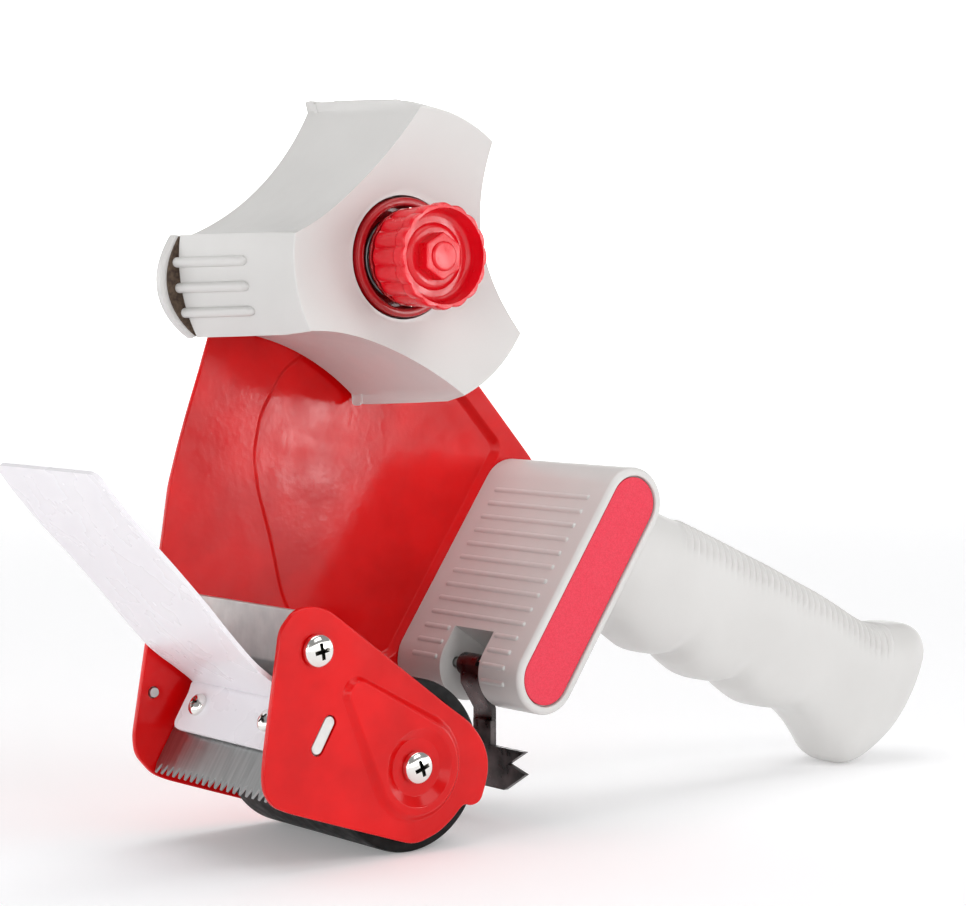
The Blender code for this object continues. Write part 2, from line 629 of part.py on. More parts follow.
def handle():
    y0, y1 = BLOCK_Y
    ends = (BLOCK_TOP, BLOCK_LOW)
    levels = [(y0, BLOCK_R - 1.0), (y0 + 0.35, BLOCK_R - 0.3), (y0 + 1.2, BLOCK_R), (y1, BLOCK_R)]
    block = rings_solid([[(x, y, z) for x, z in capsule(*ends, r, 10)] for y, r in levels])
    obj = add("handle", block, LIGHT_PLASTIC)
    join(obj, rings_solid(grip_rings()))
    cut(
        obj,
        prism(capsule(*ends, 7.1, 10), y0 - 1.0, y0 + 1.5),
        prism(capsule(block_point(2.0, 0), block_point(31.0, 0), 6.6, 8), 5.0, 60.0),
        prism(block_box(45.5, 66.0, -5.4, 14.0), 15.6, 31.0),
        cylinder(BRAKE_PIN, 1.5, 9.0, 37.0, 20),
    )
    for s, n in HANDLE_SCREWS[:2]:
        join(obj, cylinder(block_point(s, n), 3.8, 4.0, y1 - 0.4, 24))
    cut(obj, *[cylinder(block_point(s, n), 1.9, 36.0, 60.0, 24) for s, n in HANDLE_SCREWS])
    for i in range(14):
        s = 4.06 + 4.07 * i
        for a, b in ((4.6, 43.4),) if i < 10 else ((4.6, 14.2), (32.4, 43.4)):
            if i > 12 and a > 20:
                continue
            join(obj, block_rib(s, a, b))
    return obj


def block_rib(s, y0, y1):
    """A low rounded rib across the block's front face, following it round the lower end."""
    low = 49.95
    if s <= low:
        centre = block_point(s, BLOCK_R - 0.35)
    else:
        turn = (s - low) / BLOCK_R
        centre = block_point(low + (BLOCK_R - 0.35) * math.sin(turn), (BLOCK_R - 0.35) * math.cos(turn))
    return cylinder(centre, 0.8, y0, y1, 8)


def inlay():
    add("handle_inlay", prism(capsule(BLOCK_TOP, BLOCK_LOW, 6.8, 10), -0.4, 0.2), ((0.80, 0.03, 0.05), 0.55))


def handle_screws():
    names = ("handle_screw_top", "handle_screw_mid", "handle_screw_low")
    for name, (s, n) in zip(names, HANDLE_SCREWS):
        seat = PLATE_OUT + GAP + (1.8 if name == "handle_screw_mid" else 0.0)
        pan_screw(name, block_point(s, n), seat, 1, 3.4, 2.0, 1.5, 12.0, ZINC)


# ---------------------------------------------------------------- roller brake
def brake():
    pivot = (BRAKE_PIN[0], MID_Y, BRAKE_PIN[1])
    px, pz = BRAKE_PIN
    eye = circle(BRAKE_PIN, 3.0, 20)
    obj = add("brake_plate", prism(eye, 20.0, 27.6), DARK_STEEL, pivot)
    tongue = [(px - 3.0, pz + 0.5), (px - 2.6, pz - 4.4), (40.3, 27.6), (40.3, 18.0), (41.6, 18.0), (41.6, 28.2),
              (px - 0.6, pz - 2.6)]
    comb = [(5.1, 18.6), (11.8, 14.8), (4.9, 13.0), (13.4, 8.0)]
    mirror = [(2 * MID_Y - y, z) for y, z in reversed(comb)]
    outline = [*comb, *mirror]
    rings = [[(x, y, z) for y, z in outline] for x in (40.1, 41.4)]
    join(obj, prism(tongue, 19.8, 27.4), rings_solid(rings))
    cut(obj, cylinder(BRAKE_PIN, 1.4, 15.0, 32.0, 20))
    add("brake_pin", cylinder(BRAKE_PIN, 1.25, 9.4, 36.6, 20), STEEL, smooth=True)
    coil("brake_spring", BRAKE_PIN, 2.3, 0.45, 15.9, 19.6, 3.4, CHROME)


side_plate()
cheek_plate()
bridge_sheet()
clamp_bar()
blade()
flap()
flap_screws()
roller()
hub()
tension_stack()
handle()
inlay()
handle_screws()
brake()
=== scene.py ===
"""Hand-held packing-tape dispenser on a pale studio floor.

Shapes are worked out in millimetres in a frame whose X axis runs from the blade to the grip, Y along the
roller and the hub with the tension knob at -Y, and Z up, with the roller axle at x = 0. SHIFT turns that
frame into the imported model's own.
"""

import json
import math

import bmesh
import bpy
from mathutils import Matrix, Vector


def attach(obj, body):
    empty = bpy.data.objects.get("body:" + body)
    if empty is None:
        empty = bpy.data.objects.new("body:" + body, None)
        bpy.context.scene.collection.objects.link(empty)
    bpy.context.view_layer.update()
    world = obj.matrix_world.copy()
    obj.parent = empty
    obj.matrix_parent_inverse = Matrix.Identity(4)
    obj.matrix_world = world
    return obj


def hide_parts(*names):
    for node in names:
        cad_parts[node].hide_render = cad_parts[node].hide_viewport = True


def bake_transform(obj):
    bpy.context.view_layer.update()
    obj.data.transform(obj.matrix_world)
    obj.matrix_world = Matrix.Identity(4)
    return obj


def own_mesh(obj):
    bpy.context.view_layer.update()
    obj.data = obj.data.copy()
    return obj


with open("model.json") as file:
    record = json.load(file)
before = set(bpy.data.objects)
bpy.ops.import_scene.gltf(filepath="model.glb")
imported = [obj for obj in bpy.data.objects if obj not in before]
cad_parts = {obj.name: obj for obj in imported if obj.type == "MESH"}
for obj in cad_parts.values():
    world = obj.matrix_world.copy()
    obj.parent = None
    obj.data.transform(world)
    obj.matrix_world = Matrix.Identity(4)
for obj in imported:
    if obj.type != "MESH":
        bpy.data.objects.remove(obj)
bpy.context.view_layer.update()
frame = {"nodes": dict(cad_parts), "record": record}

# ---------------------------------------------------------------- dimensions (mm)
SHIFT = (-55.985, -22.425)
CHEEK_OUT = -3.9
CHEEK_IN = -2.4
PLATE_IN = 49.5
PLATE_OUT = 51.0
MID_Y = 23.55
GAP = 0.3
AXLE = (0.0, 20.7)
ROLLER_R = 20.7
TYRE_IN_R = 17.3
ROLLER_Y = (-1.3, 48.4)
HUB = (4.8, 140.4)
HUB_LEN = 48.8
LOBE_HALF = math.radians(18.7)
LOBE_PHASE = math.radians(10.3)
FLANK_CENTRE = 86.0
FLANK_R = 63.9
POCKET_R = 14.7
BLADE_TIP = (-40.3, 16.7)
SLOPE = (0.515, 0.857)
NORMAL = (-0.857, 0.515)
SCREW_Y = (MID_Y - 15.25, MID_Y + 15.25)
BLOCK_TOP = (70.4, 78.9)
BLOCK_LOW = (42.3, 37.6)
BLOCK_R = 9.26
BLOCK_Y = (-1.0, PLATE_IN - GAP)
GRIP_ORIGIN = (80.0, 50.0)
GRIP_DIR = (0.9135, -0.4067)
GRIP_UP = (0.4067, 0.9135)
GRIP_HALF_W = 13.5
SPACER = (-27.8, 50.6)
BRAKE_PIN = (38.6, 38.4)
AXLE_HOLE_R = 2.4
SPACER_HOLE_R = 2.2
SLOT_HALF_W = 1.8
NEAR_CUT = (-9.0, 3.0)
FAR_CUT = (45.0, 60.0)
FILM_HALF = 0.55


# ---------------------------------------------------------------- outlines
def metres(x, y, z):
    return Vector(((x + SHIFT[0]) / 1000, (y + SHIFT[1]) / 1000, z / 1000))


def smooth(t):
    t = min(max(t, 0.0), 1.0)
    return t * t * (3 - 2 * t)


def circle(centre, radius, count=64, phase=0.0):
    return [
        (
            centre[0] + radius * math.cos(phase + math.tau * i / count),
            centre[1] + radius * math.sin(phase + math.tau * i / count),
        )
        for i in range(count)
    ]


def capsule(a, b, radius, steps=24, end_radius=None):
    """Outline round two circles: a stadium, or a teardrop when the radii differ."""
    end_radius = radius if end_radius is None else end_radius
    angle = math.atan2(b[1] - a[1], b[0] - a[0])
    beta = math.acos((radius - end_radius) / math.dist(a, b))
    points = []
    for centre, r, start, sweep in (
        (b, end_radius, angle - beta, 2 * beta),
        (a, radius, angle + beta, math.tau - 2 * beta),
    ):
        for i in range(steps + 1):
            t = start + sweep * i / steps
            points.append((centre[0] + r * math.cos(t), centre[1] + r * math.sin(t)))
    return points


def rounded(points, reach, steps=6):
    """A polygon with every corner bent over a distance of reach along its edges."""
    out = []
    count = len(points)
    for i, corner in enumerate(points):
        here = Vector(corner)
        before = Vector(points[i - 1]) - here
        after = Vector(points[(i + 1) % count]) - here
        start = here + before * min(reach / before.length, 0.45)
        end = here + after * min(reach / after.length, 0.45)
        for k in range(steps + 1):
            t = k / steps
            out.append(tuple(start * (1 - t) ** 2 + here * 2 * t * (1 - t) + end * t * t))
    return out


def offset(points, distance):
    """Every edge of a polygon moved inwards by a distance."""
    area = sum(a[0] * b[1] - b[0] * a[1] for a, b in zip(points, points[1:] + points[:1]))
    sign = 1 if area > 0 else -1
    out = []
    count = len(points)
    for i, corner in enumerate(points):
        here = Vector(corner)
        before = (here - Vector(points[i - 1])).normalized()
        after = (Vector(points[(i + 1) % count]) - here).normalized()
        n0 = Vector((-before.y, before.x)) * sign
        n1 = Vector((-after.y, after.x)) * sign
        mitre = (n0 + n1).normalized()
        out.append(tuple(here + mitre * (distance / max(mitre.dot(n0), 0.4))))
    return out


def slope_point(s, n):
    """A point s up the blade from its tips and n out from its face."""
    return (
        BLADE_TIP[0] + s * SLOPE[0] + n * NORMAL[0],
        BLADE_TIP[1] + s * SLOPE[1] + n * NORMAL[1],
    )


def slope_box(s0, s1, n0, n1):
    return [slope_point(s0, n0), slope_point(s1, n0), slope_point(s1, n1), slope_point(s0, n1)]


def block_point(s, n):
    """A point s down the grip block's centre line and n forward of it."""
    dx, dz = BLOCK_LOW[0] - BLOCK_TOP[0], BLOCK_LOW[1] - BLOCK_TOP[1]
    long = math.hypot(dx, dz)
    dx, dz = dx / long, dz / long
    return (BLOCK_TOP[0] + s * dx + n * dz, BLOCK_TOP[1] + s * dz - n * dx)


# ---------------------------------------------------------------- solids
def rings_solid(rings):
    """A closed solid through rings of equally many (x, y, z) points."""
    bm = bmesh.new()
    made = [[bm.verts.new(metres(*p)) for p in ring] for ring in rings]
    count = len(made[0])
    for low, high in zip(made, made[1:]):
        for i in range(count):
            j = (i + 1) % count
            bm.faces.new((low[i], low[j], high[j], high[i]))
    bm.faces.new(made[0])
    bm.faces.new(list(reversed(made[-1])))
    return bm


def flat_ring(outline, y):
    return [(x, y, z) for x, z in outline]


def prism(profile, y0, y1, edge=0.0):
    """An outline drawn out along Y, its two rims rounded over by edge."""
    if edge <= 0:
        return rings_solid([flat_ring(profile, y0), flat_ring(profile, y1)])
    way = 1 if y1 > y0 else -1
    turns = [math.pi / 2 * k / 4 for k in range(5)]
    rims = [(edge * (1 - math.sin(t)), edge * (1 - math.cos(t))) for t in turns]
    levels = [(inset, y0 + way * depth) for inset, depth in rims]
    levels += [(inset, y1 - way * depth) for inset, depth in reversed(rims)]
    return rings_solid([flat_ring(offset(profile, inset), y) for inset, y in levels])


def stack(outline_at, levels):
    """A solid from (inset, y) levels of one outline function."""
    return rings_solid([flat_ring(outline_at(inset), y) for inset, y in levels])


def swell(outline_at, base_y, height, inset, steps=8, sink=0.7):
    """A pressed form whose wall eases from the sheet to its raised face."""
    way = 1 if height > 0 else -1
    levels = [(0.0, base_y - way * sink), (0.0, base_y - way * 0.03)]
    for k in range(1, steps + 1):
        t = k / steps
        levels.append((inset * t, base_y + (height + way * 0.03) * smooth(t) - way * 0.03))
    return stack(outline_at, levels)


def lathe(centre, profile, count=96):
    """A closed ring profile of (radius, y) points turned about a Y axis."""
    bm = bmesh.new()
    turns = []
    for i in range(count):
        a = math.tau * i / count
        c, s = math.cos(a), math.sin(a)
        turns.append([bm.verts.new(metres(centre[0] + r * c, y, centre[1] + r * s)) for r, y in profile])
    size = len(profile)
    for i in range(count):
        one, two = turns[i], turns[(i + 1) % count]
        for j in range(size):
            k = (j + 1) % size
            bm.faces.new((one[j], one[k], two[k], two[j]))
    return bm


def merged(*bodies):
    """Several solids that don't touch, as one mesh."""
    bm = bmesh.new()
    for body in bodies:
        mesh = bpy.data.meshes.new("part")
        body.to_mesh(mesh)
        body.free()
        bm.from_mesh(mesh)
        bpy.data.meshes.remove(mesh)
    return bm


def link(name, bm):
    bmesh.ops.recalc_face_normals(bm, faces=bm.faces)
    mesh = bpy.data.meshes.new(name)
    bm.to_mesh(mesh)
    bm.free()
    obj = bpy.data.objects.new(name, mesh)
    bpy.context.scene.collection.objects.link(obj)
    return obj


def shape(name, bm, steps=(), bevel=0.0, angle=38.0, segments=3):
    """An object from a solid and a list of (operation, solid) steps, with softened edges."""
    obj = link(name, bm)
    tools = []
    for operation, body in steps:
        tool = link(f"{name}_tool", body)
        tools.append(tool)
        mod = obj.modifiers.new(operation, "BOOLEAN")
        mod.operation = operation
        mod.solver = "EXACT"
        mod.object = tool
    if bevel > 0:
        mod = obj.modifiers.new("Bevel", "BEVEL")
        mod.width = bevel / 1000
        mod.segments = segments
        mod.limit_method = "ANGLE"
        mod.angle_limit = math.radians(angle)
        mod.use_clamp_overlap = True
    if obj.modifiers:
        graph = bpy.context.evaluated_depsgraph_get()
        graph.update()
        mesh = bpy.data.meshes.new_from_object(obj.evaluated_get(graph))
        old = obj.data
        obj.modifiers.clear()
        obj.data = mesh
        bpy.data.meshes.remove(old)
        mesh.name = name
    for tool in tools:
        bpy.data.objects.remove(tool, do_unlink=True)
    obj.data.materials.clear()
    for poly in obj.data.polygons:
        poly.use_smooth = True
    obj.data.set_sharp_from_angle(angle=math.radians(angle))
    mod = obj.modifiers.new("Normals", "WEIGHTED_NORMAL")
    mod.keep_sharp = True
    return obj


def place(obj, body, slot, mat, *nodes):
    obj.data.materials.append(mat)
    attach(obj, body)
    if nodes:
        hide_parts(*nodes)
    return obj


# ---------------------------------------------------------------- materials
def new_material(name, colour, roughness, metallic=0.0):
    mat = bpy.data.materials.new(name)
    mat.use_nodes = True
    shader = mat.node_tree.nodes["Principled BSDF"]
    shader.inputs["Base Color"].default_value = (*colour, 1.0)
    shader.inputs["Roughness"].default_value = roughness
    shader.inputs["Metallic"].default_value = metallic
    return mat, shader


def noise_node(tree, scale, detail, stretch):
    coords = tree.nodes.new("ShaderNodeTexCoord")
    mapping = tree.nodes.new("ShaderNodeMapping")
    mapping.inputs["Scale"].default_value = stretch
    texture = tree.nodes.new("ShaderNodeTexNoise")
    texture.inputs["Scale"].default_value = scale
    texture.inputs["Detail"].default_value = detail
    tree.links.new(coords.outputs["Object"], mapping.inputs["Vector"])
    tree.links.new(mapping.outputs["Vector"], texture.inputs["Vector"])
    return texture


def vary_roughness(mat, shader, scale, low, high, stretch=(1, 1, 1), detail=3.0):
    tree = mat.node_tree
    texture = noise_node(tree, scale, detail, stretch)
    spread = tree.nodes.new("ShaderNodeMapRange")
    spread.inputs["From Min"].default_value = 0.35
    spread.inputs["From Max"].default_value = 0.65
    spread.inputs["To Min"].default_value = low
    spread.inputs["To Max"].default_value = high
    tree.links.new(texture.outputs[0], spread.inputs["Value"])
    tree.links.new(spread.outputs["Result"], shader.inputs["Roughness"])


def vary_colour(mat, shader, scale, dark, light, stretch=(1, 1, 1), detail=4.0):
    tree = mat.node_tree
    texture = noise_node(tree, scale, detail, stretch)
    ramp = tree.nodes.new("ShaderNodeValToRGB")
    ramp.color_ramp.elements[0].position = 0.36
    ramp.color_ramp.elements[0].color = (*dark, 1)
    ramp.color_ramp.elements[1].position = 0.64
    ramp.color_ramp.elements[1].color = (*light, 1)
    tree.links.new(texture.outputs[0], ramp.inputs["Fac"])
    tree.links.new(ramp.outputs["Color"], shader.inputs["Base Color"])


def add_bump(mat, shader, layers):
    """layers: (noise scale per metre, height in mm, detail, stretch)."""
    tree = mat.node_tree
    last = None
    for scale, height, detail, stretch in layers:
        texture = noise_node(tree, scale, detail, stretch)
        bump = tree.nodes.new("ShaderNodeBump")
        bump.inputs["Strength"].default_value = 1.0
        bump.inputs["Distance"].default_value = height / 1000
        tree.links.new(texture.outputs[0], bump.inputs["Height"])
        if last:
            tree.links.new(last.outputs["Normal"], bump.inputs["Normal"])
        last = bump
    tree.links.new(last.outputs["Normal"], shader.inputs["Normal"])


EVEN = (1, 1, 1)


def make_materials():
    kit = {}
    mat, shader = new_material("gloss red paint", (0.68, 0.002, 0.003), 0.16)
    vary_colour(mat, shader, 60, (0.60, 0.0015, 0.002), (0.74, 0.003, 0.004))
    vary_roughness(mat, shader, 180, 0.1, 0.2)
    shader.inputs["Specular IOR Level"].default_value = 0.3
    add_bump(mat, shader, [(750, 0.024, 2.0, EVEN), (140, 0.03, 1.0, EVEN)])
    kit["red_paint"] = mat

    mat, shader = new_material("gloss red plastic", (0.72, 0.003, 0.012), 0.2)
    vary_colour(mat, shader, 90, (0.66, 0.002, 0.009), (0.78, 0.005, 0.016))
    vary_roughness(mat, shader, 260, 0.14, 0.28)
    add_bump(mat, shader, [(900, 0.006, 3.0, EVEN), (140, 0.03, 1.0, EVEN)])
    kit["red_plastic"] = mat

    # A darker copy of the gloss red plastic: painted shade for the pressure flange, which sits down in the
    # hub's pocket behind the knob.
    mat, shader = new_material("red plastic painted shade", (0.40, 0.002, 0.006), 0.16)
    vary_colour(mat, shader, 90, (0.34, 0.0015, 0.004), (0.46, 0.003, 0.008))
    vary_roughness(mat, shader, 260, 0.12, 0.22)
    add_bump(mat, shader, [(900, 0.006, 3.0, EVEN)])
    kit["deep_red"] = mat

    mat, shader = new_material("matte red panel", (0.74, 0.025, 0.06), 0.55)
    vary_colour(mat, shader, 3600, (0.70, 0.02, 0.05), (0.79, 0.03, 0.068), detail=2.0)
    vary_roughness(mat, shader, 1500, 0.48, 0.66)
    add_bump(mat, shader, [(2600, 0.02, 2.0, EVEN)])
    kit["inlay_red"] = mat

    mat, shader = new_material("light grey moulding", (0.64, 0.63, 0.615), 0.36)
    vary_colour(mat, shader, 35, (0.625, 0.615, 0.60), (0.655, 0.645, 0.63), detail=5.0)
    vary_roughness(mat, shader, 120, 0.3, 0.42)
    add_bump(mat, shader, [(1800, 0.005, 3.0, EVEN)])
    kit["light_plastic"] = mat

    mat, shader = new_material("white bearing plastic", (0.74, 0.73, 0.71), 0.45)
    vary_colour(mat, shader, 80, (0.68, 0.67, 0.65), (0.78, 0.77, 0.75))
    add_bump(mat, shader, [(1500, 0.01, 3.0, EVEN)])
    kit["core_plastic"] = mat

    mat, shader = new_material("black rubber", (0.006, 0.006, 0.006), 0.5)
    vary_colour(mat, shader, 500, (0.003, 0.003, 0.003), (0.009, 0.009, 0.009))
    vary_roughness(mat, shader, 300, 0.42, 0.6)
    shader.inputs["Specular IOR Level"].default_value = 0.16
    add_bump(mat, shader, [(900, 0.02, 3.0, (1, 0.15, 1)), (2500, 0.008, 2.0, EVEN)])
    kit["rubber"] = mat

    # Dark brown fibre. The same material also paints the shade in the hub's lip groove.
    mat, shader = new_material("fibre washer and painted shade", (0.075, 0.05, 0.035), 0.9)
    vary_colour(mat, shader, 900, (0.05, 0.03, 0.02), (0.11, 0.075, 0.05))
    add_bump(mat, shader, [(1600, 0.05, 4.0, EVEN)])
    kit["felt"] = mat

    mat, shader = new_material("nickel plate", (0.83, 0.82, 0.79), 0.1, 1.0)
    vary_roughness(mat, shader, 700, 0.07, 0.17)
    add_bump(mat, shader, [(500, 0.006, 3.0, EVEN)])
    kit["chrome"] = mat

    mat, shader = new_material("zinc sheet", (0.64, 0.64, 0.62), 0.46, 1.0)
    vary_colour(mat, shader, 240, (0.61, 0.615, 0.60), (0.68, 0.68, 0.66), detail=3.0)
    vary_roughness(mat, shader, 200, 0.42, 0.54, (1, 4, 1))
    add_bump(mat, shader, [(300, 0.004, 3.0, EVEN), (1800, 0.002, 2.0, EVEN)])
    kit["zinc"] = mat

    mat, shader = new_material("ground steel", (0.40, 0.41, 0.41), 0.34, 1.0)
    vary_colour(mat, shader, 900, (0.36, 0.37, 0.37), (0.44, 0.45, 0.45), (0.06, 1, 0.06), 4.0)
    vary_roughness(mat, shader, 1200, 0.3, 0.4, (0.05, 1, 0.05))
    add_bump(mat, shader, [(1800, 0.003, 4.0, (0.04, 1, 0.04))])
    kit["steel"] = mat

    mat, shader = new_material("blackened steel", (0.09, 0.08, 0.08), 0.32, 1.0)
    vary_colour(mat, shader, 200, (0.05, 0.045, 0.045), (0.14, 0.12, 0.12))
    vary_roughness(mat, shader, 400, 0.24, 0.46)
    add_bump(mat, shader, [(700, 0.012, 3.0, EVEN)])
    kit["dark_steel"] = mat

    mat, shader = new_material("milky film", (0.80, 0.775, 0.81), 0.28)
    vary_colour(mat, shader, 25, (0.79, 0.765, 0.80), (0.82, 0.80, 0.83), detail=2.0)
    vary_roughness(mat, shader, 90, 0.26, 0.3)
    add_bump(mat, shader, [(900, 0.004, 2.0, EVEN)])
    kit["clear_film"] = mat
    return kit


MATS = make_materials()

# ---------------------------------------------------------------- side plate and cheek plate
FOOT_OUTLINE = [
    (16.4, 29.6), (20.0, 25.1), (21.6, 21.0), (21.7, 17.0), (20.5, 13.0), (19.3, 10.2), (16.6, 9.4),
    (14.2, 10.3), (10.9, 7.0), (6.8, 4.3), (1.5, 2.6), (-1.5, 2.6), (-6.1, 4.1), (-20.8, 9.0),
    (-35.6, 14.0), (-39.8, 15.9), (-42.1, 19.4),
]
CHEEK = rounded(
    [*FOOT_OUTLINE, (-42.4, 23.4), (-41.6, 29.8), (-38.5, 48.8), (-37.4, 56.0), (-33.6, 60.2),
     (-28.6, 61.0), (-24.0, 59.6), (9.3, 34.6)], 2.0)
TEARDROP_TOP = (-16.6, 39.6)
SLOT_ENDS = (slope_point(16.2, -5.0), slope_point(22.8, -5.0))
PLATE_LEFT = [
    (-44.3, 21.0), (-44.9, 25.6), (-41.0, 47.7), (-36.2, 73.1), (-34.2, 85.8), (-31.6, 94.7),
    (-29.1, 102.4), (-25.3, 113.0),
]
PANEL = [
    (6.0, 37.5), (32.0, 37.5), (68.6, 91.6), (55.0, 106.5), (41.0, 116.5), (27.0, 122.5), (10.0, 121.5),
    (-2.0, 113.6), (-8.8, 102.5), (-10.9, 92.5), (-9.7, 83.0), (-6.5, 72.5), (-3.0, 57.0),
]
HANDLE_SCREWS = ((4.0, 0.0), (26.0, 0.0), (51.5, -2.5))


def teardrop(inset):
    return capsule(AXLE, TEARDROP_TOP, 13.2 - inset, 32, 4.2 - 0.6 * inset)


def make_cheek_plate():
    body = prism(CHEEK, CHEEK_OUT, CHEEK_IN, 0.45)
    dish = [
        flat_ring(circle(AXLE, 10.2 - 3.4 * smooth(k / 8), 72), CHEEK_OUT - 2.2 + 2.0 * smooth(k / 8))
        for k in range(9)
    ]
    steps = [
        ("UNION", swell(teardrop, CHEEK_OUT, -1.8, 2.5)),
        ("DIFFERENCE", rings_solid([flat_ring(circle(AXLE, 10.2, 72), CHEEK_OUT - 3.2), *dish])),
        ("DIFFERENCE", prism(circle(AXLE, AXLE_HOLE_R), *NEAR_CUT)),
        ("DIFFERENCE", prism(circle(SPACER, SPACER_HOLE_R), *NEAR_CUT)),
        ("DIFFERENCE", prism(capsule(*SLOT_ENDS, SLOT_HALF_W), *NEAR_CUT)),
    ]
    obj = shape("cheek_panel", body, steps, angle=42)
    place(obj, "chassis", "red_paint", MATS["red_paint"], "cheek_plate")


def make_side_plate():
    left = math.atan2(0.29, -0.957)
    right = math.atan2(0.67, 0.742)
    crown = []
    for i in range(25):
        a = left + (right - left) * i / 24
        crown.append((HUB[0] + 20.0 * math.cos(a), HUB[1] + 20.0 * math.sin(a)))
    lower = [(x, z) for x, z in FOOT_OUTLINE if x < 20.8]
    outline = [
        *crown, (77.3, 88.6), (81.6, 82.6), (79.6, 77.0), (51.0, 34.6), (44.0, 28.2), (30.0, 24.6),
        *lower[4:-1], *PLATE_LEFT,
    ]
    outline = rounded(outline, 2.0, 4)
    body = prism(outline, PLATE_IN, PLATE_OUT, 0.4)

    def panel_at(inset):
        return rounded(offset(PANEL, inset), 3.6 - 0.6 * inset, 6)

    holes = [
        circle(AXLE, AXLE_HOLE_R),
        circle(SPACER, SPACER_HOLE_R),
        capsule(*SLOT_ENDS, SLOT_HALF_W),
        circle(HUB, 5.3),
        circle((-39.4, 35.9), 1.5),
    ]
    holes.extend(circle(block_point(s, n), 2.0) for s, n in HANDLE_SCREWS)
    steps = [
        ("UNION", swell(panel_at, PLATE_OUT, 1.8, 2.4)),
        ("DIFFERENCE", swell(panel_at, PLATE_IN, 1.8, 2.4)),
    ]
    steps.extend(("DIFFERENCE", prism(hole, *FAR_CUT)) for hole in holes)
    obj = shape("plate_side", body, steps, angle=42)
    place(obj, "chassis", "red_paint", MATS["red_paint"], "side_plate")


# ---------------------------------------------------------------- screws
def screw(name, seat, axis, up, head_r, head_h, body, slot, node, turn=0.6, shank_r=1.5, length=6.0):
    """A domed cross-recessed screw. seat is under the head, axis points out of it, in working millimetres."""
    axis = Vector(axis).normalized()
    side = axis.cross(Vector(up)).normalized()
    other = axis.cross(side)

    def at(radius, angle, height):
        out = side * (radius * math.cos(angle)) + other * (radius * math.sin(angle))
        return tuple(Vector(seat) + axis * height + out)

    profile = [(shank_r, -length), (shank_r, 0.0)]
    profile += [(head_r - 0.2, 0.0), (head_r, 0.15), (head_r, 0.32 * head_h)]
    for k in range(1, 10):
        t = math.pi / 2 * k / 10
        profile.append((head_r * math.cos(t) ** 0.8, head_h * (0.32 + 0.68 * math.sin(t))))
    profile.append((0.04 * head_r, head_h))
    body_bm = rings_solid([[at(r, math.tau * i / 48, h) for i in range(48)] for r, h in profile])
    cuts = []
    recess = [(-0.5, 0.2, 0.06), (0.7, 0.45, 0.11), (1.3, 0.6, 0.14)]
    for quarter in range(2):
        a = turn + quarter * math.pi / 2
        rings = []
        for level, reach, half in recess:
            h = head_h * level
            ring = []
            for u, v in ((-1, -1), (1, -1), (1, 1), (-1, 1)):
                along, across = u * reach * head_r, v * half * head_r
                p = Vector(seat) + axis * (h + 0.02 * quarter)
                p += side * (along * math.cos(a) - across * math.sin(a))
                p += other * (along * math.sin(a) + across * math.cos(a))
                ring.append(tuple(p))
            rings.append(ring)
        cuts.append(("DIFFERENCE", rings_solid(rings)))
    obj = shape(name, body_bm, cuts, angle=40)
    return place(obj, body, slot, MATS[slot], node)


def make_screws():
    toward, away = (0, -1, 0), (0, 1, 0)
    up = (0, 0, 1)
    near, far = CHEEK_OUT - GAP, PLATE_OUT + GAP
    screw("screw_axle_a", (AXLE[0], near, AXLE[1]), toward, up, 4.0, 2.5, "chassis", "chrome",
          "axle_screw_near", 0.35)
    screw("screw_axle_b", (AXLE[0], far, AXLE[1]), away, up, 4.0, 2.5, "chassis", "chrome",
          "axle_screw_far", 1.1)
    screw("screw_spacer_a", (SPACER[0], near, SPACER[1]), toward, up, 3.9, 2.4, "chassis", "chrome",
          "spacer_screw_near", 0.2)
    screw("screw_spacer_b", (SPACER[0], far, SPACER[1]), away, up, 3.9, 2.4, "chassis", "chrome",
          "spacer_screw_far", 0.7)
    for name, node, (s, n), lift in (
        ("screw_grip_a", "handle_screw_top", HANDLE_SCREWS[0], 0.0),
        ("screw_grip_b", "handle_screw_mid", HANDLE_SCREWS[1], 1.8),
        ("screw_grip_c", "handle_screw_low", HANDLE_SCREWS[2], 0.0),
    ):
        x, z = block_point(s, n)
        screw(name, (x, far + lift, z), away, up, 3.4, 2.0, "chassis", "zinc", node, 0.5 + s)
    for name, node, y, turn in (
        ("screw_flap_a", "flap_screw_near", SCREW_Y[0], 0.9),
        ("screw_flap_b", "flap_screw_far", SCREW_Y[1], 0.3),
    ):
        x, z = slope_point(18.0, 2.4)
        screw(name, (x, y, z), (NORMAL[0], 0, NORMAL[1]), (0, 1, 0), 2.8, 2.0, "chassis", "chrome",
              node, turn, 1.3, 7.0)


# ---------------------------------------------------------------- blade end
def make_blade():
    """The cutting strip: ground teeth along its lower edge."""
    y0, y1 = CHEEK_IN + GAP, PLATE_IN - GAP
    count = 19
    pitch = (y1 - y0) / count
    edge = []
    for i in range(count):
        edge.append((y0 + pitch * (i + 0.04), 2.5))
        edge.append((y0 + pitch * (i + 0.46), 0.12))
        edge.append((y0 + pitch * (i + 0.54), 0.12))
        edge.append((y0 + pitch * (i + 0.96), 2.5))
    edge.extend([(y1, 22.0), (y0, 22.0)])
    rings = []
    for n in (-0.6, 0.0):
        rings.append([(slope_point(s, n)[0], y, slope_point(s, n)[1]) for y, s in edge])
    obj = shape("blade_strip", rings_solid(rings), bevel=0.1, angle=30, segments=2)
    place(obj, "chassis", "steel", MATS["steel"], "blade")


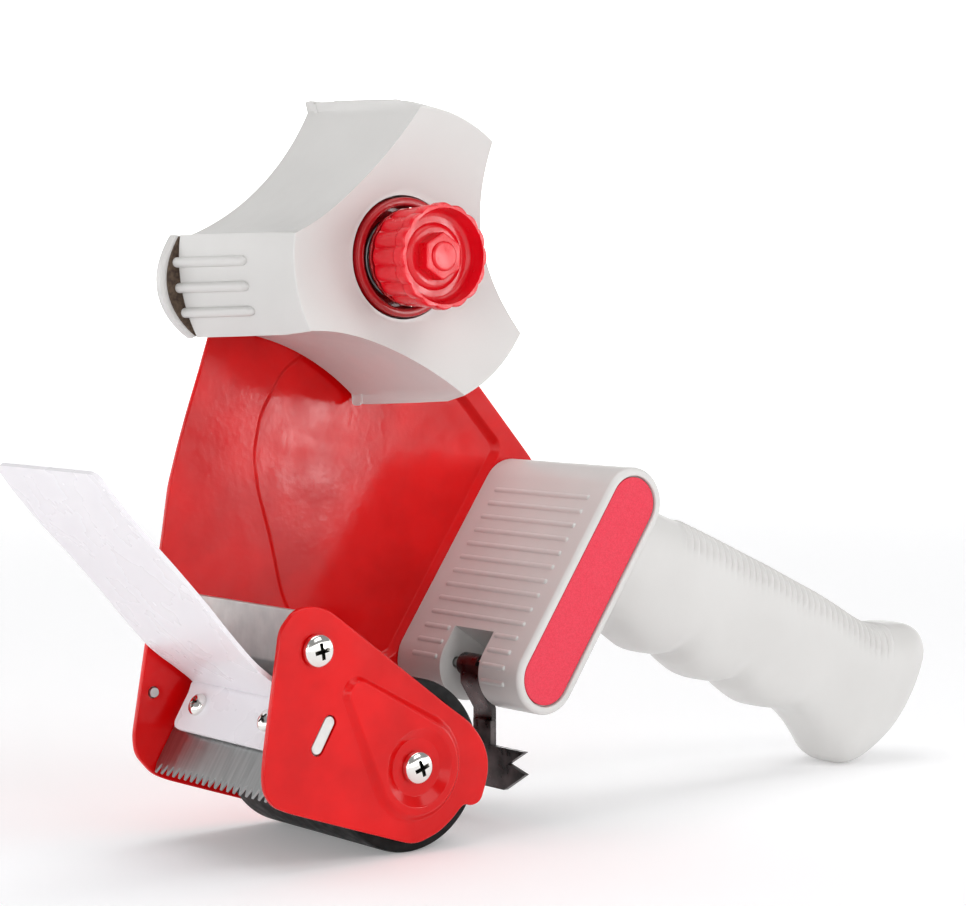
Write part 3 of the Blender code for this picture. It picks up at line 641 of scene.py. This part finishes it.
def make_bridge():
    outer = [(-32.3, 60.0), (-32.3, 47.4), (-27.5, 42.2), slope_point(24.5, -0.9), slope_point(11.0, -0.9)]
    inner = [slope_point(11.0, -1.9), slope_point(24.9, -1.9), (-26.3, 42.6), (-31.2, 47.9), (-31.2, 60.0)]
    obj = shape("bridge_panel", prism([*outer, *inner], CHEEK_IN + GAP, PLATE_IN - GAP), bevel=0.4, angle=20)
    place(obj, "chassis", "zinc", MATS["zinc"], "bridge_sheet")
    bar = prism(slope_box(13.0, 24.2, -6.9, -2.2), CHEEK_IN + GAP, PLATE_IN - GAP)
    tabs = prism(capsule(*SLOT_ENDS, 1.5), CHEEK_OUT + 0.2, PLATE_OUT - 0.2, 0.3)
    obj = shape("clamp_strip", bar, [("UNION", tabs)], bevel=0.25)
    place(obj, "chassis", "zinc", MATS["zinc"], "clamp_bar")


FLAP_LINE = [
    (-30.4, 39.6), (-34.5, 42.4), (-38.6, 45.4), (-42.8, 49.0), (-49.0, 55.8), (-54.8, 62.6),
    (-63.0, 71.6), (-71.2, 80.2), (-77.4, 87.4), (-81.8, 93.2),
]


def make_flap():
    """One sheet: a foot under the two screws, a fold, and the long free leaf."""
    line = [slope_point(11.2, 2.0), slope_point(15.0, 2.0), slope_point(19.0, 2.0), slope_point(22.6, 2.0)]
    line += [(-29.6, 38.4), *FLAP_LINE[1:]]
    dense = []
    for i in range(len(line) - 1):
        p0, p1 = Vector(line[max(i - 1, 0)]), Vector(line[i])
        p2, p3 = Vector(line[i + 1]), Vector(line[min(i + 2, len(line) - 1)])
        for k in range(8):
            t = k / 8
            dense.append(0.5 * ((2 * p1) + (p2 - p0) * t + (2 * p0 - 5 * p1 + 4 * p2 - p3) * t * t
                                + (3 * p1 - p0 - 3 * p2 + p3) * t ** 3))
    dense.append(Vector(line[-1]))
    lengths = [0.0]
    for a, b in zip(dense, dense[1:]):
        lengths.append(lengths[-1] + (b - a).length)
    total = lengths[-1]
    half_foot, half_leaf = 22.2, 23.5
    across = 20
    stations = []
    for i, here in enumerate(dense):
        ahead = dense[min(i + 1, len(dense) - 1)] - dense[max(i - 1, 0)]
        ahead.normalize()
        out = Vector((-ahead.y, ahead.x))
        run = lengths[i]
        half = half_foot + (half_leaf - half_foot) * smooth((run - 9) / 5)
        corner = 2.6
        if run < corner:
            half -= corner - math.sqrt(max(corner ** 2 - (corner - run) ** 2, 0.0))
        if total - run < corner:
            half -= corner - math.sqrt(max(corner ** 2 - (corner - total + run) ** 2, 0.0))
        stations.append((here, out, half))
    bm = bmesh.new()
    sheets = []
    for lift in (FILM_HALF, -FILM_HALF):
        rows = []
        for here, out, half in stations:
            row = []
            for k in range(across + 1):
                u = -1 + 2 * k / across
                point = here + out * lift
                row.append(bm.verts.new(metres(point.x, MID_Y + half * u, point.y)))
            rows.append(row)
        sheets.append(rows)
    top, low = sheets
    for rows, flip in ((top, False), (low, True)):
        for a, b in zip(rows, rows[1:]):
            for k in range(across):
                face = (a[k], a[k + 1], b[k + 1], b[k])
                bm.faces.new(tuple(reversed(face)) if flip else face)
    for side in (0, -1):
        edge = [row[side] for row in top]
        below = [row[side] for row in low]
        for i in range(len(edge) - 1):
            bm.faces.new((edge[i], edge[i + 1], below[i + 1], below[i]))
    for end in (0, -1):
        for k in range(across):
            bm.faces.new((top[end][k], top[end][k + 1], low[end][k + 1], low[end][k]))
    obj = shape("flap_sheet", bm, bevel=0.25, angle=50, segments=2)
    obj.data.materials.append(MATS["clear_film"])
    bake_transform(obj)
    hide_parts("flap_foot", "flap_film")


# ---------------------------------------------------------------- roller
def make_roller():
    y0, y1 = ROLLER_Y
    tyre = [(TYRE_IN_R, y0 + 0.2), (TYRE_IN_R + 0.3, y0), (ROLLER_R - 0.8, y0), (ROLLER_R - 0.25, y0 + 0.2),
            (ROLLER_R, y0 + 0.8), (ROLLER_R, y1 - 0.8), (ROLLER_R - 0.25, y1 - 0.2), (ROLLER_R - 0.8, y1),
            (TYRE_IN_R + 0.3, y1), (TYRE_IN_R, y1 - 0.2)]
    obj = shape("tyre", lathe(AXLE, tyre, 128), angle=30)
    place(obj, "roller", "rubber", MATS["rubber"], "roller_tyre")
    core_out = TYRE_IN_R - 0.2
    core = [
        (5.8, y0 + 0.8), (8.0, y0 + 0.8), (8.0, 19.0), (14.6, 19.0), (14.6, y0 + 0.4), (core_out, y0 + 0.4),
        (core_out, y1 - 0.4), (14.6, y1 - 0.4), (14.6, 28.0), (8.0, 28.0), (8.0, y1 - 0.8), (5.8, y1 - 0.8),
    ]
    spokes = []
    for i in range(6):
        a = math.tau * i / 6
        for mouth, floor in ((y0 + 1.0, 20.0), (y1 - 1.0, 27.0)):
            ring = []
            for r, w in ((7.6, -0.7), (14.9, -0.7), (14.9, 0.7), (7.6, 0.7)):
                x = AXLE[0] + r * math.cos(a) - w * math.sin(a)
                z = AXLE[1] + r * math.sin(a) + w * math.cos(a)
                ring.append((x, z))
            spokes.append(prism(ring, mouth, floor))
    obj = shape("roller_body", lathe(AXLE, core, 96), [("UNION", s) for s in spokes], bevel=0.2)
    place(obj, "roller", "core_plastic", MATS["core_plastic"], "roller_core")


# ---------------------------------------------------------------- tape hub
def star(lobe_r, inset=0.0, bulge=0.0, lobe_n=20, flank_n=26):
    """Three-lobed outline: round lobe ends joined by hollow flanks, the first lobe swelled by bulge."""
    points = []
    for k in range(3):
        mid = LOBE_PHASE + math.pi + k * math.tau / 3
        half = LOBE_HALF - inset / lobe_r
        for i in range(lobe_n + 1):
            t = -1 + 2 * i / lobe_n
            a = mid + half * t
            r = lobe_r - inset + (bulge if k == 0 else 0.0) * math.cos(t * math.pi / 2)
            points.append((HUB[0] + r * math.cos(a), HUB[1] + r * math.sin(a)))
        flank = mid + math.pi / 3
        centre = Vector((FLANK_CENTRE * math.cos(flank), FLANK_CENTRE * math.sin(flank)))
        start = Vector(points[-1]) - Vector(HUB) - centre
        end_a = mid + 2 * math.pi / 3 - half
        end = Vector(((lobe_r - inset) * math.cos(end_a), (lobe_r - inset) * math.sin(end_a))) - centre
        for i in range(1, flank_n):
            way = start.lerp(end, i / flank_n).normalized() * (FLANK_R + inset)
            points.append((HUB[0] + centre.x + way.x, HUB[1] + centre.y + way.y))
    return points


def toward_circle(outline, radius, t):
    """An outline drawn part of the way in to a circle round the hub's axis."""
    out = []
    for x, z in outline:
        a = math.atan2(z - HUB[1], x - HUB[0])
        out.append((
            x + (HUB[0] + radius * math.cos(a) - x) * t,
            z + (HUB[1] + radius * math.sin(a) - z) * t,
        ))
    return out


def dish_depth(x, z):
    """How far back the hub's hollow face lies at a point: a cone round the axis."""
    r = math.dist((x, z), HUB)
    return 6.6 - 6.6 * (r - POCKET_R) / (35.2 - POCKET_R)


def make_hub():
    rings = []
    rim = star(34.85)
    for k in range(14, -1, -1):
        outline = toward_circle(rim, POCKET_R + 0.4, k / 14)
        rings.append([(x, dish_depth(x, z), z) for x, z in outline])
    for r, back in ((35.1, 0.03), (35.3, 0.14), (35.42, 0.34), (35.5, 0.7)):
        rings.append([(x, dish_depth(x, z) + back, z) for x, z in star(r)])
    for y, r in ((7.5, 37.05), (20.0, 37.8), (34.0, 38.5), (44.2, 38.95), (44.25, 38.6), (45.5, 38.6)):
        rings.append(flat_ring(star(r), y))
    for y, r, b in ((45.55, 38.9, 3.7), (45.75, 39.2, 4.0), (46.1, 39.4, 4.2), (47.9, 39.4, 4.2),
                    (48.5, 39.3, 4.0), (HUB_LEN, 38.9, 3.6)):
        rings.append(flat_ring(star(r, 0.0, b), y))
    cavity = [flat_ring(star(36.9, 2.4), 10.0), flat_ring(star(38.6, 2.4), 60.0)]
    ribs = []
    for k in range(3):
        for side in (-1, 0, 1):
            a = LOBE_PHASE + math.pi + k * math.tau / 3 + side * math.radians(9)
            ring_list = []
            for step in range(25):
                y = 16.3 + (45.0 - 16.3) * (step / 24) ** 1.4
                lift = 37.2 + (y - 7.5) * 0.052
                size = 1.25 * math.sqrt(max(1 - max(1 - (y - 16.25) / 2.2, 0.0) ** 2, 0.0))
                size = max(size, 0.08)
                centre = (HUB[0] + (lift - 0.05) * math.cos(a), HUB[1] + (lift - 0.05) * math.sin(a))
                ring_list.append(flat_ring(circle(centre, size, 20, a), y))
            ribs.append(rings_solid(ring_list))
    steps = [
        ("DIFFERENCE", rings_solid(cavity)),
        ("UNION", prism(circle(HUB, 17.6, 96), 7.2, 15.2)),
        ("UNION", prism(circle(HUB, 8.4, 64), 14.0, 43.6)),
        ("DIFFERENCE", prism(circle(HUB, POCKET_R, 96), 3.0, 13.0)),
        ("DIFFERENCE", prism(circle(HUB, 5.15, 64), 0.0, 60.0)),
        ("UNION", merged(*ribs)),
    ]
    obj = shape("hub_shell", rings_solid(rings), steps, angle=38)
    place(obj, "hub_body", "light_plastic", MATS["light_plastic"], "hub")
    # Painted shade: a dark brown band set in the groove between the lobe wall and the far lip stands for the
    # shadow in that narrow slit. It has no CAD piece of its own.
    band = [(44.3, 0.1), (44.8, 0.2), (44.9, 3.4), (45.65, 3.4)]
    hollow = rings_solid([flat_ring(star(39.05, 1.8), y) for y in (41.0, 47.0)])
    solid = rings_solid([flat_ring(star(39.05, 0.35, b), y) for y, b in band])
    obj = shape("hub_groove_painted_shade", solid, [("DIFFERENCE", hollow)])
    place(obj, "hub_body", "felt", MATS["felt"])


# ---------------------------------------------------------------- tension knob
def knob_outline(radius, depth, lobes=16, count=320):
    points = []
    for i in range(count):
        a = math.tau * i / count
        r = radius - depth * (1 - abs(math.cos(lobes / 2 * a)) ** 0.75)
        points.append((HUB[0] + r * math.cos(a), HUB[1] + r * math.sin(a)))
    return points


def make_knob():
    levels = [
        (3.1, 11.1, 0.2), (2.7, 11.55, 0.5), (2.0, 11.7, 0.9), (-5.2, 11.75, 0.9), (-6.0, 11.9, 0.75),
        (-6.6, 12.35, 0.7), (-7.0, 12.5, 0.7), (-9.3, 12.5, 0.7), (-9.8, 12.3, 0.6), (-9.98, 12.05, 0.5),
    ]
    rings = [flat_ring(knob_outline(r, d), y) for y, r, d in levels]
    cup = [(-10.4, 11.35), (-9.9, 11.2), (-9.6, 11.05), (-7.0, 10.7), (-6.2, 10.4), (-5.8, 9.9), (-5.6, 9.2)]
    hexagon = rounded(circle(HUB, 5.7, 6, 0.5), 0.5, 3)
    boss = [flat_ring(hexagon, y) for y in (-4.6, -9.0)]
    boss.append(flat_ring(offset(hexagon, 0.15), -9.35))
    boss.append(flat_ring(offset(hexagon, 0.5), -9.5))
    collar = [(-5.0, 8.2), (-5.7, 7.9), (-6.1, 7.3), (-6.3, 6.6)]
    cap = [(-9.2, 3.5), (-9.8, 3.45), (-10.05, 3.25), (-10.15, 2.9)]
    steps = [
        ("DIFFERENCE", rings_solid([flat_ring(circle(HUB, r, 96), y) for y, r in cup])),
        ("UNION", rings_solid([flat_ring(circle(HUB, r, 64), y) for y, r in collar])),
        ("UNION", rings_solid(boss)),
        ("UNION", rings_solid([flat_ring(circle(HUB, r, 48), y) for y, r in cap])),
        ("DIFFERENCE", prism(circle(HUB, 3.3), -8.2, 5.0)),
        ("DIFFERENCE", prism(circle(HUB, 6.4, 6), -2.4, 5.0)),
    ]
    obj = shape("knob_grip", rings_solid(rings), steps, angle=36)
    place(obj, "knob", "red_plastic", MATS["red_plastic"], "tension_knob")
    flange = [
        (5.4, 9.9), (11.7, 9.9), (12.0, 9.6), (12.1, 5.6), (12.4, 5.15), (12.8, 5.0), (13.6, 5.0),
        (14.0, 5.2), (14.2, 5.6), (14.2, 10.6), (13.9, 11.0), (13.4, 11.2), (5.4, 11.2),
    ]
    obj = shape("pressure_flange", lathe(HUB, flange, 120), angle=30)
    # The flange is the knob's red plastic. Its darker copy paints the shade it lies in inside the hub's
    # pocket.
    place(obj, "chassis", "red_plastic", MATS["deep_red"], "pressure_cup")


def make_spring():
    """The tension spring that the knob presses against the hub, built as one fixed coil already squeezed."""
    low, high, turns, wire = 4.5, 9.7, 2.2, 0.55
    rings = []
    for i in range(67):
        a = math.tau * turns * i / 66
        y = low + wire + (high - low - 2 * wire) * i / 66
        ring = []
        for b in (math.tau * k / 10 for k in range(10)):
            r = 9.8 + wire * math.cos(b)
            ring.append((HUB[0] + r * math.cos(a), y + wire * math.sin(b), HUB[1] + r * math.sin(a)))
        rings.append(ring)
    obj = shape("squeezed_spring", rings_solid(rings))
    place(obj, "chassis", "steel", MATS["steel"], "tension_spring")
    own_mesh(obj)


# ---------------------------------------------------------------- grip
GRIP_SECTIONS = [
    (-14.0, 26.6, -1.6, 0.80), (-6.0, 28.4, -3.6, 0.92), (2.0, 28.6, -4.6, 0.98), (8.0, 28.8, -5.8, 1.00),
    (14.0, 28.9, -6.9, 1.00), (19.5, 29.0, -5.9, 1.00), (24.0, 29.0, -3.7, 1.00), (29.0, 29.1, -5.7, 1.00),
    (35.0, 29.1, -6.9, 1.00), (41.8, 29.1, -5.9, 1.00), (46.8, 29.1, -3.5, 1.00), (52.0, 29.0, -5.4, 1.00),
    (59.0, 28.9, -6.7, 1.00), (65.5, 28.8, -5.6, 1.00), (70.6, 28.5, -3.9, 1.00), (76.0, 28.1, -4.2, 1.00),
    (82.0, 27.6, -6.4, 1.00), (88.3, 27.5, -9.4, 1.00), (92.5, 28.0, -11.4, 1.02), (96.7, 30.2, -11.6, 1.02),
    (100.7, 32.0, -9.4, 1.01), (104.3, 33.3, -5.4, 1.00), (107.2, 33.6, -0.6, 0.96), (109.2, 32.7, 6.8, 0.88),
    (110.9, 30.8, 15.0, 0.72), (111.8, 28.2, 21.5, 0.42),
]
RIB_RUN = (9.0, 99.0)
RIB_COUNT = 37


def grip_section(u):
    """Top, bottom and width share of the grip at a distance along it, smoothly joined."""
    rows = GRIP_SECTIONS
    i = max(j for j in range(len(rows) - 1) if rows[j][0] <= u or j == 0)
    span = rows[i + 1][0] - rows[i][0]
    t = (u - rows[i][0]) / span
    out = []
    for column in (1, 2, 3):
        p1, p2 = rows[i][column], rows[i + 1][column]
        before = rows[max(i - 1, 0)]
        after = rows[min(i + 2, len(rows) - 1)]
        m1 = (p2 - before[column]) / max(rows[i + 1][0] - before[0], 1e-6) * span
        m2 = (after[column] - p1) / max(after[0] - rows[i][0], 1e-6) * span
        t2, t3 = t * t, t * t * t
        ends = (2 * t3 - 3 * t2 + 1) * p1 + (3 * t2 - 2 * t3) * p2
        out.append(ends + (t3 - 2 * t2 + t) * m1 + (t3 - t2) * m2)
    return out


def grip_solid(count=72):
    start = GRIP_SECTIONS[0][0]
    stations = [start + 0.5 * i for i in range(50) if start + 0.5 * i < RIB_RUN[0]]
    pitch = (RIB_RUN[1] - RIB_RUN[0]) / RIB_COUNT
    stations += [RIB_RUN[0] + pitch * k / 6 for k in range(RIB_COUNT * 6)]
    u = RIB_RUN[1]
    end = GRIP_SECTIONS[-1][0]
    while u < end:
        stations.append(u)
        u += 0.6 if u < 107 else 0.3
    stations.append(end)
    rings = []
    for u in stations:
        top, bottom, share = grip_section(u)
        middle, half = (top + bottom) / 2, (top - bottom) / 2
        ripple = 0.0
        if RIB_RUN[0] <= u <= RIB_RUN[1]:
            phase = (u - RIB_RUN[0]) / pitch
            fade = smooth((u - RIB_RUN[0]) / 4) * smooth((RIB_RUN[1] - u) / 6)
            ripple = 0.8 * fade * abs(math.sin(math.pi * phase)) ** 0.7
        ring = []
        for i in range(count):
            a = math.tau * i / count
            c, s = math.cos(a), math.sin(a)
            lower = max(-s, 0.0)
            pinch = 1 - 0.13 * lower * (0.5 + 0.5 * math.cos(math.tau * (u - 13.0) / 23.0))
            raised = ripple * smooth((s - 0.46) / 0.08)
            across = math.copysign(abs(c) ** 0.62, c) * GRIP_HALF_W * share * pinch
            across += raised * c
            v = middle + math.copysign(abs(s) ** 0.75, s) * half + raised * s
            x = GRIP_ORIGIN[0] + u * GRIP_DIR[0] + v * GRIP_UP[0]
            z = GRIP_ORIGIN[1] + u * GRIP_DIR[1] + v * GRIP_UP[1]
            ring.append((x, MID_Y + across, z))
        rings.append(ring)
    return rings_solid(rings)


def block_rib(s, y0, y1, size=0.8):
    """A low rounded rib across the block's front, following it round the lower end."""
    low = 49.95
    reach = BLOCK_R - 0.35
    if s <= low:
        centre = block_point(s, reach)
    else:
        turn = (s - low) / BLOCK_R
        centre = block_point(low + reach * math.sin(turn), reach * math.cos(turn))
    shares = (0.02, 0.25, 0.6, 1.0)
    levels = [(t, y0 + size * t) for t in shares] + [(t, y1 - size * t) for t in reversed(shares)]
    rings = []
    for t, y in levels:
        radius = size * math.sqrt(max(1 - (1 - t) ** 2, 0.03))
        rings.append(flat_ring(circle(centre, radius, 16), y))
    return rings_solid(rings)


def block_box(s0, s1, n0, n1):
    return [block_point(s0, n0), block_point(s1, n0), block_point(s1, n1), block_point(s0, n1)]


def make_handle():
    y0, y1 = BLOCK_Y
    ends = (BLOCK_TOP, BLOCK_LOW)
    levels = [(BLOCK_R - 1.15, y0)]
    for k in range(1, 7):
        t = math.pi / 2 * k / 6
        levels.append((BLOCK_R - 1.15 * (1 - math.sin(t)), y0 + 1.15 * (1 - math.cos(t))))
    levels.append((BLOCK_R, y1))
    block = rings_solid([flat_ring(capsule(*ends, r), y) for r, y in levels])
    ribs = []
    for i in range(14):
        s = 4.06 + 4.07 * i
        if i < 10:
            ribs.append(block_rib(s, 4.6, 43.4))
            continue
        ribs.append(block_rib(s, 4.6, 14.2))
        if i < 13:
            ribs.append(block_rib(s, 32.4, 43.4))
    notch = rounded(block_box(43.9, 66.0, -8.2, 14.0), 0.8, 3)
    seat = [(7.55, y0 - 1.0), (7.55, y0 - 0.05), (7.3, y0 + 0.12), (7.2, y0 + 0.4), (7.2, y0 + 1.5)]
    steps = [
        ("DIFFERENCE", rings_solid([flat_ring(capsule(*ends, r), y) for r, y in seat])),
        ("DIFFERENCE", prism(capsule(block_point(2.0, 0), block_point(31.0, 0), 6.6), 5.0, 60.0)),
        ("DIFFERENCE", prism(notch, 15.0, 31.0)),
        ("DIFFERENCE", prism(circle(BRAKE_PIN, 1.5), 9.0, 37.0)),
        ("UNION", merged(*ribs)),
        ("UNION", grip_solid()),
    ]
    for s, n in HANDLE_SCREWS[:2]:
        steps.append(("UNION", prism(circle(block_point(s, n), 3.8), 4.0, y1 - 0.4)))
    for s, n in HANDLE_SCREWS:
        steps.append(("DIFFERENCE", prism(circle(block_point(s, n), 1.9), 36.0, 60.0)))
    obj = shape("grip_moulding", block, steps, angle=40)
    place(obj, "chassis", "light_plastic", MATS["light_plastic"], "handle")
    obj = shape("grip_inlay", prism(capsule(BLOCK_TOP, BLOCK_LOW, 6.85), -0.5, 0.2, 0.15), angle=40)
    place(obj, "chassis", "inlay_red", MATS["inlay_red"], "handle_inlay")


# ---------------------------------------------------------------- roller brake
def make_brake():
    """A bent strap hung on the pin, ending in a tab and a toothed plate behind the roller."""
    px, pz = BRAKE_PIN
    eye = circle(BRAKE_PIN, 3.0, 40)
    strap = [
        (px - 3.0, pz + 0.5), (px - 2.7, pz - 4.4), (39.9, 27.4), (39.9, 17.6), (41.3, 17.6), (41.3, 27.9),
        (px - 0.9, pz - 2.6),
    ]
    comb = [(5.1, 18.6), (11.8, 14.8), (4.9, 13.0), (13.4, 8.0)]
    mirror = [(2 * MID_Y - y, z) for y, z in reversed(comb)]
    plate = rings_solid([[(x, y, z) for y, z in [*comb, *mirror]] for x in (39.8, 41.1)])
    tab = [(38.9, 25.0), (38.9, 18.9), (40.0, 18.9), (40.0, 25.0)]
    steps = [
        ("UNION", prism(eye, 19.8, 27.4)),
        ("DIFFERENCE", prism(circle(BRAKE_PIN, 1.4), 15.0, 32.0)),
        ("UNION", plate),
        ("UNION", prism(tab, 17.6, 24.8)),
    ]
    obj = shape("brake_comb", prism(strap, 18.4, 26.0), steps, bevel=0.15)
    place(obj, "brake", "dark_steel", MATS["dark_steel"], "brake_plate")


# ---------------------------------------------------------------- carried-over pieces
def finish_cad_nodes():
    """CAD pieces that keep their shape get the finished materials."""
    slots = {row["node"]: row["material_slot"] for row in frame["record"]["subparts"]}
    for name, obj in frame["nodes"].items():
        if obj.hide_render:
            continue
        obj.data.materials.clear()
        obj.data.materials.append(MATS[slots[name]])
        mod = obj.modifiers.new("Soft edges", "BEVEL")
        mod.width = 0.00012
        mod.segments = 2
        mod.limit_method = "ANGLE"
        mod.angle_limit = math.radians(35)


# ---------------------------------------------------------------- studio (metres)
FLOOR_HALF = 9.0
WALL_R = 8.4
WALL_Z = (-0.05, 2.6)
WALL_SIDES = 64


def make_studio():
    bm = bmesh.new()
    corners = ((-FLOOR_HALF, -FLOOR_HALF), (FLOOR_HALF, -FLOOR_HALF), (FLOOR_HALF, FLOOR_HALF),
               (-FLOOR_HALF, FLOOR_HALF))
    bm.faces.new([bm.verts.new((x, y, 0.0)) for x, y in corners])
    floor = link("floor", bm)
    mat, shader = new_material("studio floor", (0.92, 0.92, 0.93), 0.9)
    vary_roughness(mat, shader, 8, 0.86, 0.94)
    shader.inputs["Specular IOR Level"].default_value = 0.05
    # Painted light: the floor glows weakly near the dispenser and more strongly further out, so it reads
    # white while the shade round the parts stays darker.
    shader.inputs["Emission Color"].default_value = (1.0, 1.0, 1.0, 1.0)
    tree = mat.node_tree
    coords = tree.nodes.new("ShaderNodeTexCoord")
    distance = tree.nodes.new("ShaderNodeVectorMath")
    distance.operation = "LENGTH"
    glow = tree.nodes.new("ShaderNodeMapRange")
    glow.interpolation_type = "SMOOTHSTEP"
    for socket, value in (("From Min", 0.25), ("From Max", 1.8), ("To Min", 0.18), ("To Max", 0.66)):
        glow.inputs[socket].default_value = value
    tree.links.new(coords.outputs["Object"], distance.inputs[0])
    tree.links.new(distance.outputs["Value"], glow.inputs["Value"])
    tree.links.new(glow.outputs["Result"], shader.inputs["Emission Strength"])
    floor.data.materials.append(mat)
    bm = bmesh.new()
    around = circle((0.0, 0.0), WALL_R, WALL_SIDES)
    low, high = ([bm.verts.new((x, y, z)) for x, y in around] for z in WALL_Z)
    for i in range(WALL_SIDES):
        j = (i + 1) % WALL_SIDES
        bm.faces.new((low[i], high[i], high[j], low[j]))
    wall = link("backdrop", bm)
    mat, shader = new_material("white backdrop", (0.9, 0.9, 0.9), 0.8)
    vary_roughness(mat, shader, 3, 0.7, 0.9)
    shader.inputs["Emission Color"].default_value = (1.0, 1.0, 1.0, 1.0)
    shader.inputs["Emission Strength"].default_value = 1.0
    wall.data.materials.append(mat)

    world = bpy.data.worlds.new("studio")
    world.use_nodes = True
    background = world.node_tree.nodes["Background"]
    background.inputs["Color"].default_value = (1.0, 1.0, 1.0, 1.0)
    background.inputs["Strength"].default_value = 0.32
    bpy.context.scene.world = world

    for name, place_at, aim, size, power in (
        ("key", (0.25, -0.95, 1.0), (0.0, 0.0, 0.08), (0.8, 0.6), 3.2),
        ("top", (0.0, 0.15, 1.2), (0.0, 0.0, 0.08), (1.0, 0.9), 5.8),
        ("left", (-1.0, -0.45, 0.3), (0.0, 0.0, 0.09), (0.3, 0.9), 1.0),
        ("strip", (0.45, -0.72, 0.11), (-0.08, 0.03, 0.08), (0.05, 0.2), 0.3),
    ):
        lamp = bpy.data.lights.new(name, "AREA")
        lamp.shape = "RECTANGLE"
        lamp.size, lamp.size_y = size
        lamp.energy = power
        obj = bpy.data.objects.new(name, lamp)
        obj.location = place_at
        obj.rotation_euler = (Vector(aim) - Vector(place_at)).to_track_quat("-Z", "Y").to_euler()
        bpy.context.scene.collection.objects.link(obj)


def make_camera():
    data = bpy.data.cameras.new("camera")
    data.lens = 96.66
    data.sensor_width = 36.0
    data.shift_x = 0.0022
    data.clip_start = 0.01
    camera = bpy.data.objects.new("camera", data)
    look = Vector((0.60818, 0.79175, -0.05703)).normalized()
    up = Vector((0.03795, 0.04276, 0.99836))
    right = look.cross(up).normalized()
    up = right.cross(look)
    turn = Matrix((right, up, -look)).transposed()
    camera.matrix_world = Matrix.Translation(metres(-355.8, -492.7, 129.1)) @ turn.to_4x4()
    bpy.context.scene.collection.objects.link(camera)
    bpy.context.scene.camera = camera


make_camera()
make_studio()
bpy.context.scene.view_settings.view_transform = "Standard"
make_side_plate()
make_cheek_plate()
make_screws()
make_blade()
make_bridge()
make_flap()
make_roller()
make_hub()
make_knob()
make_spring()
make_handle()
make_brake()
finish_cad_nodes()
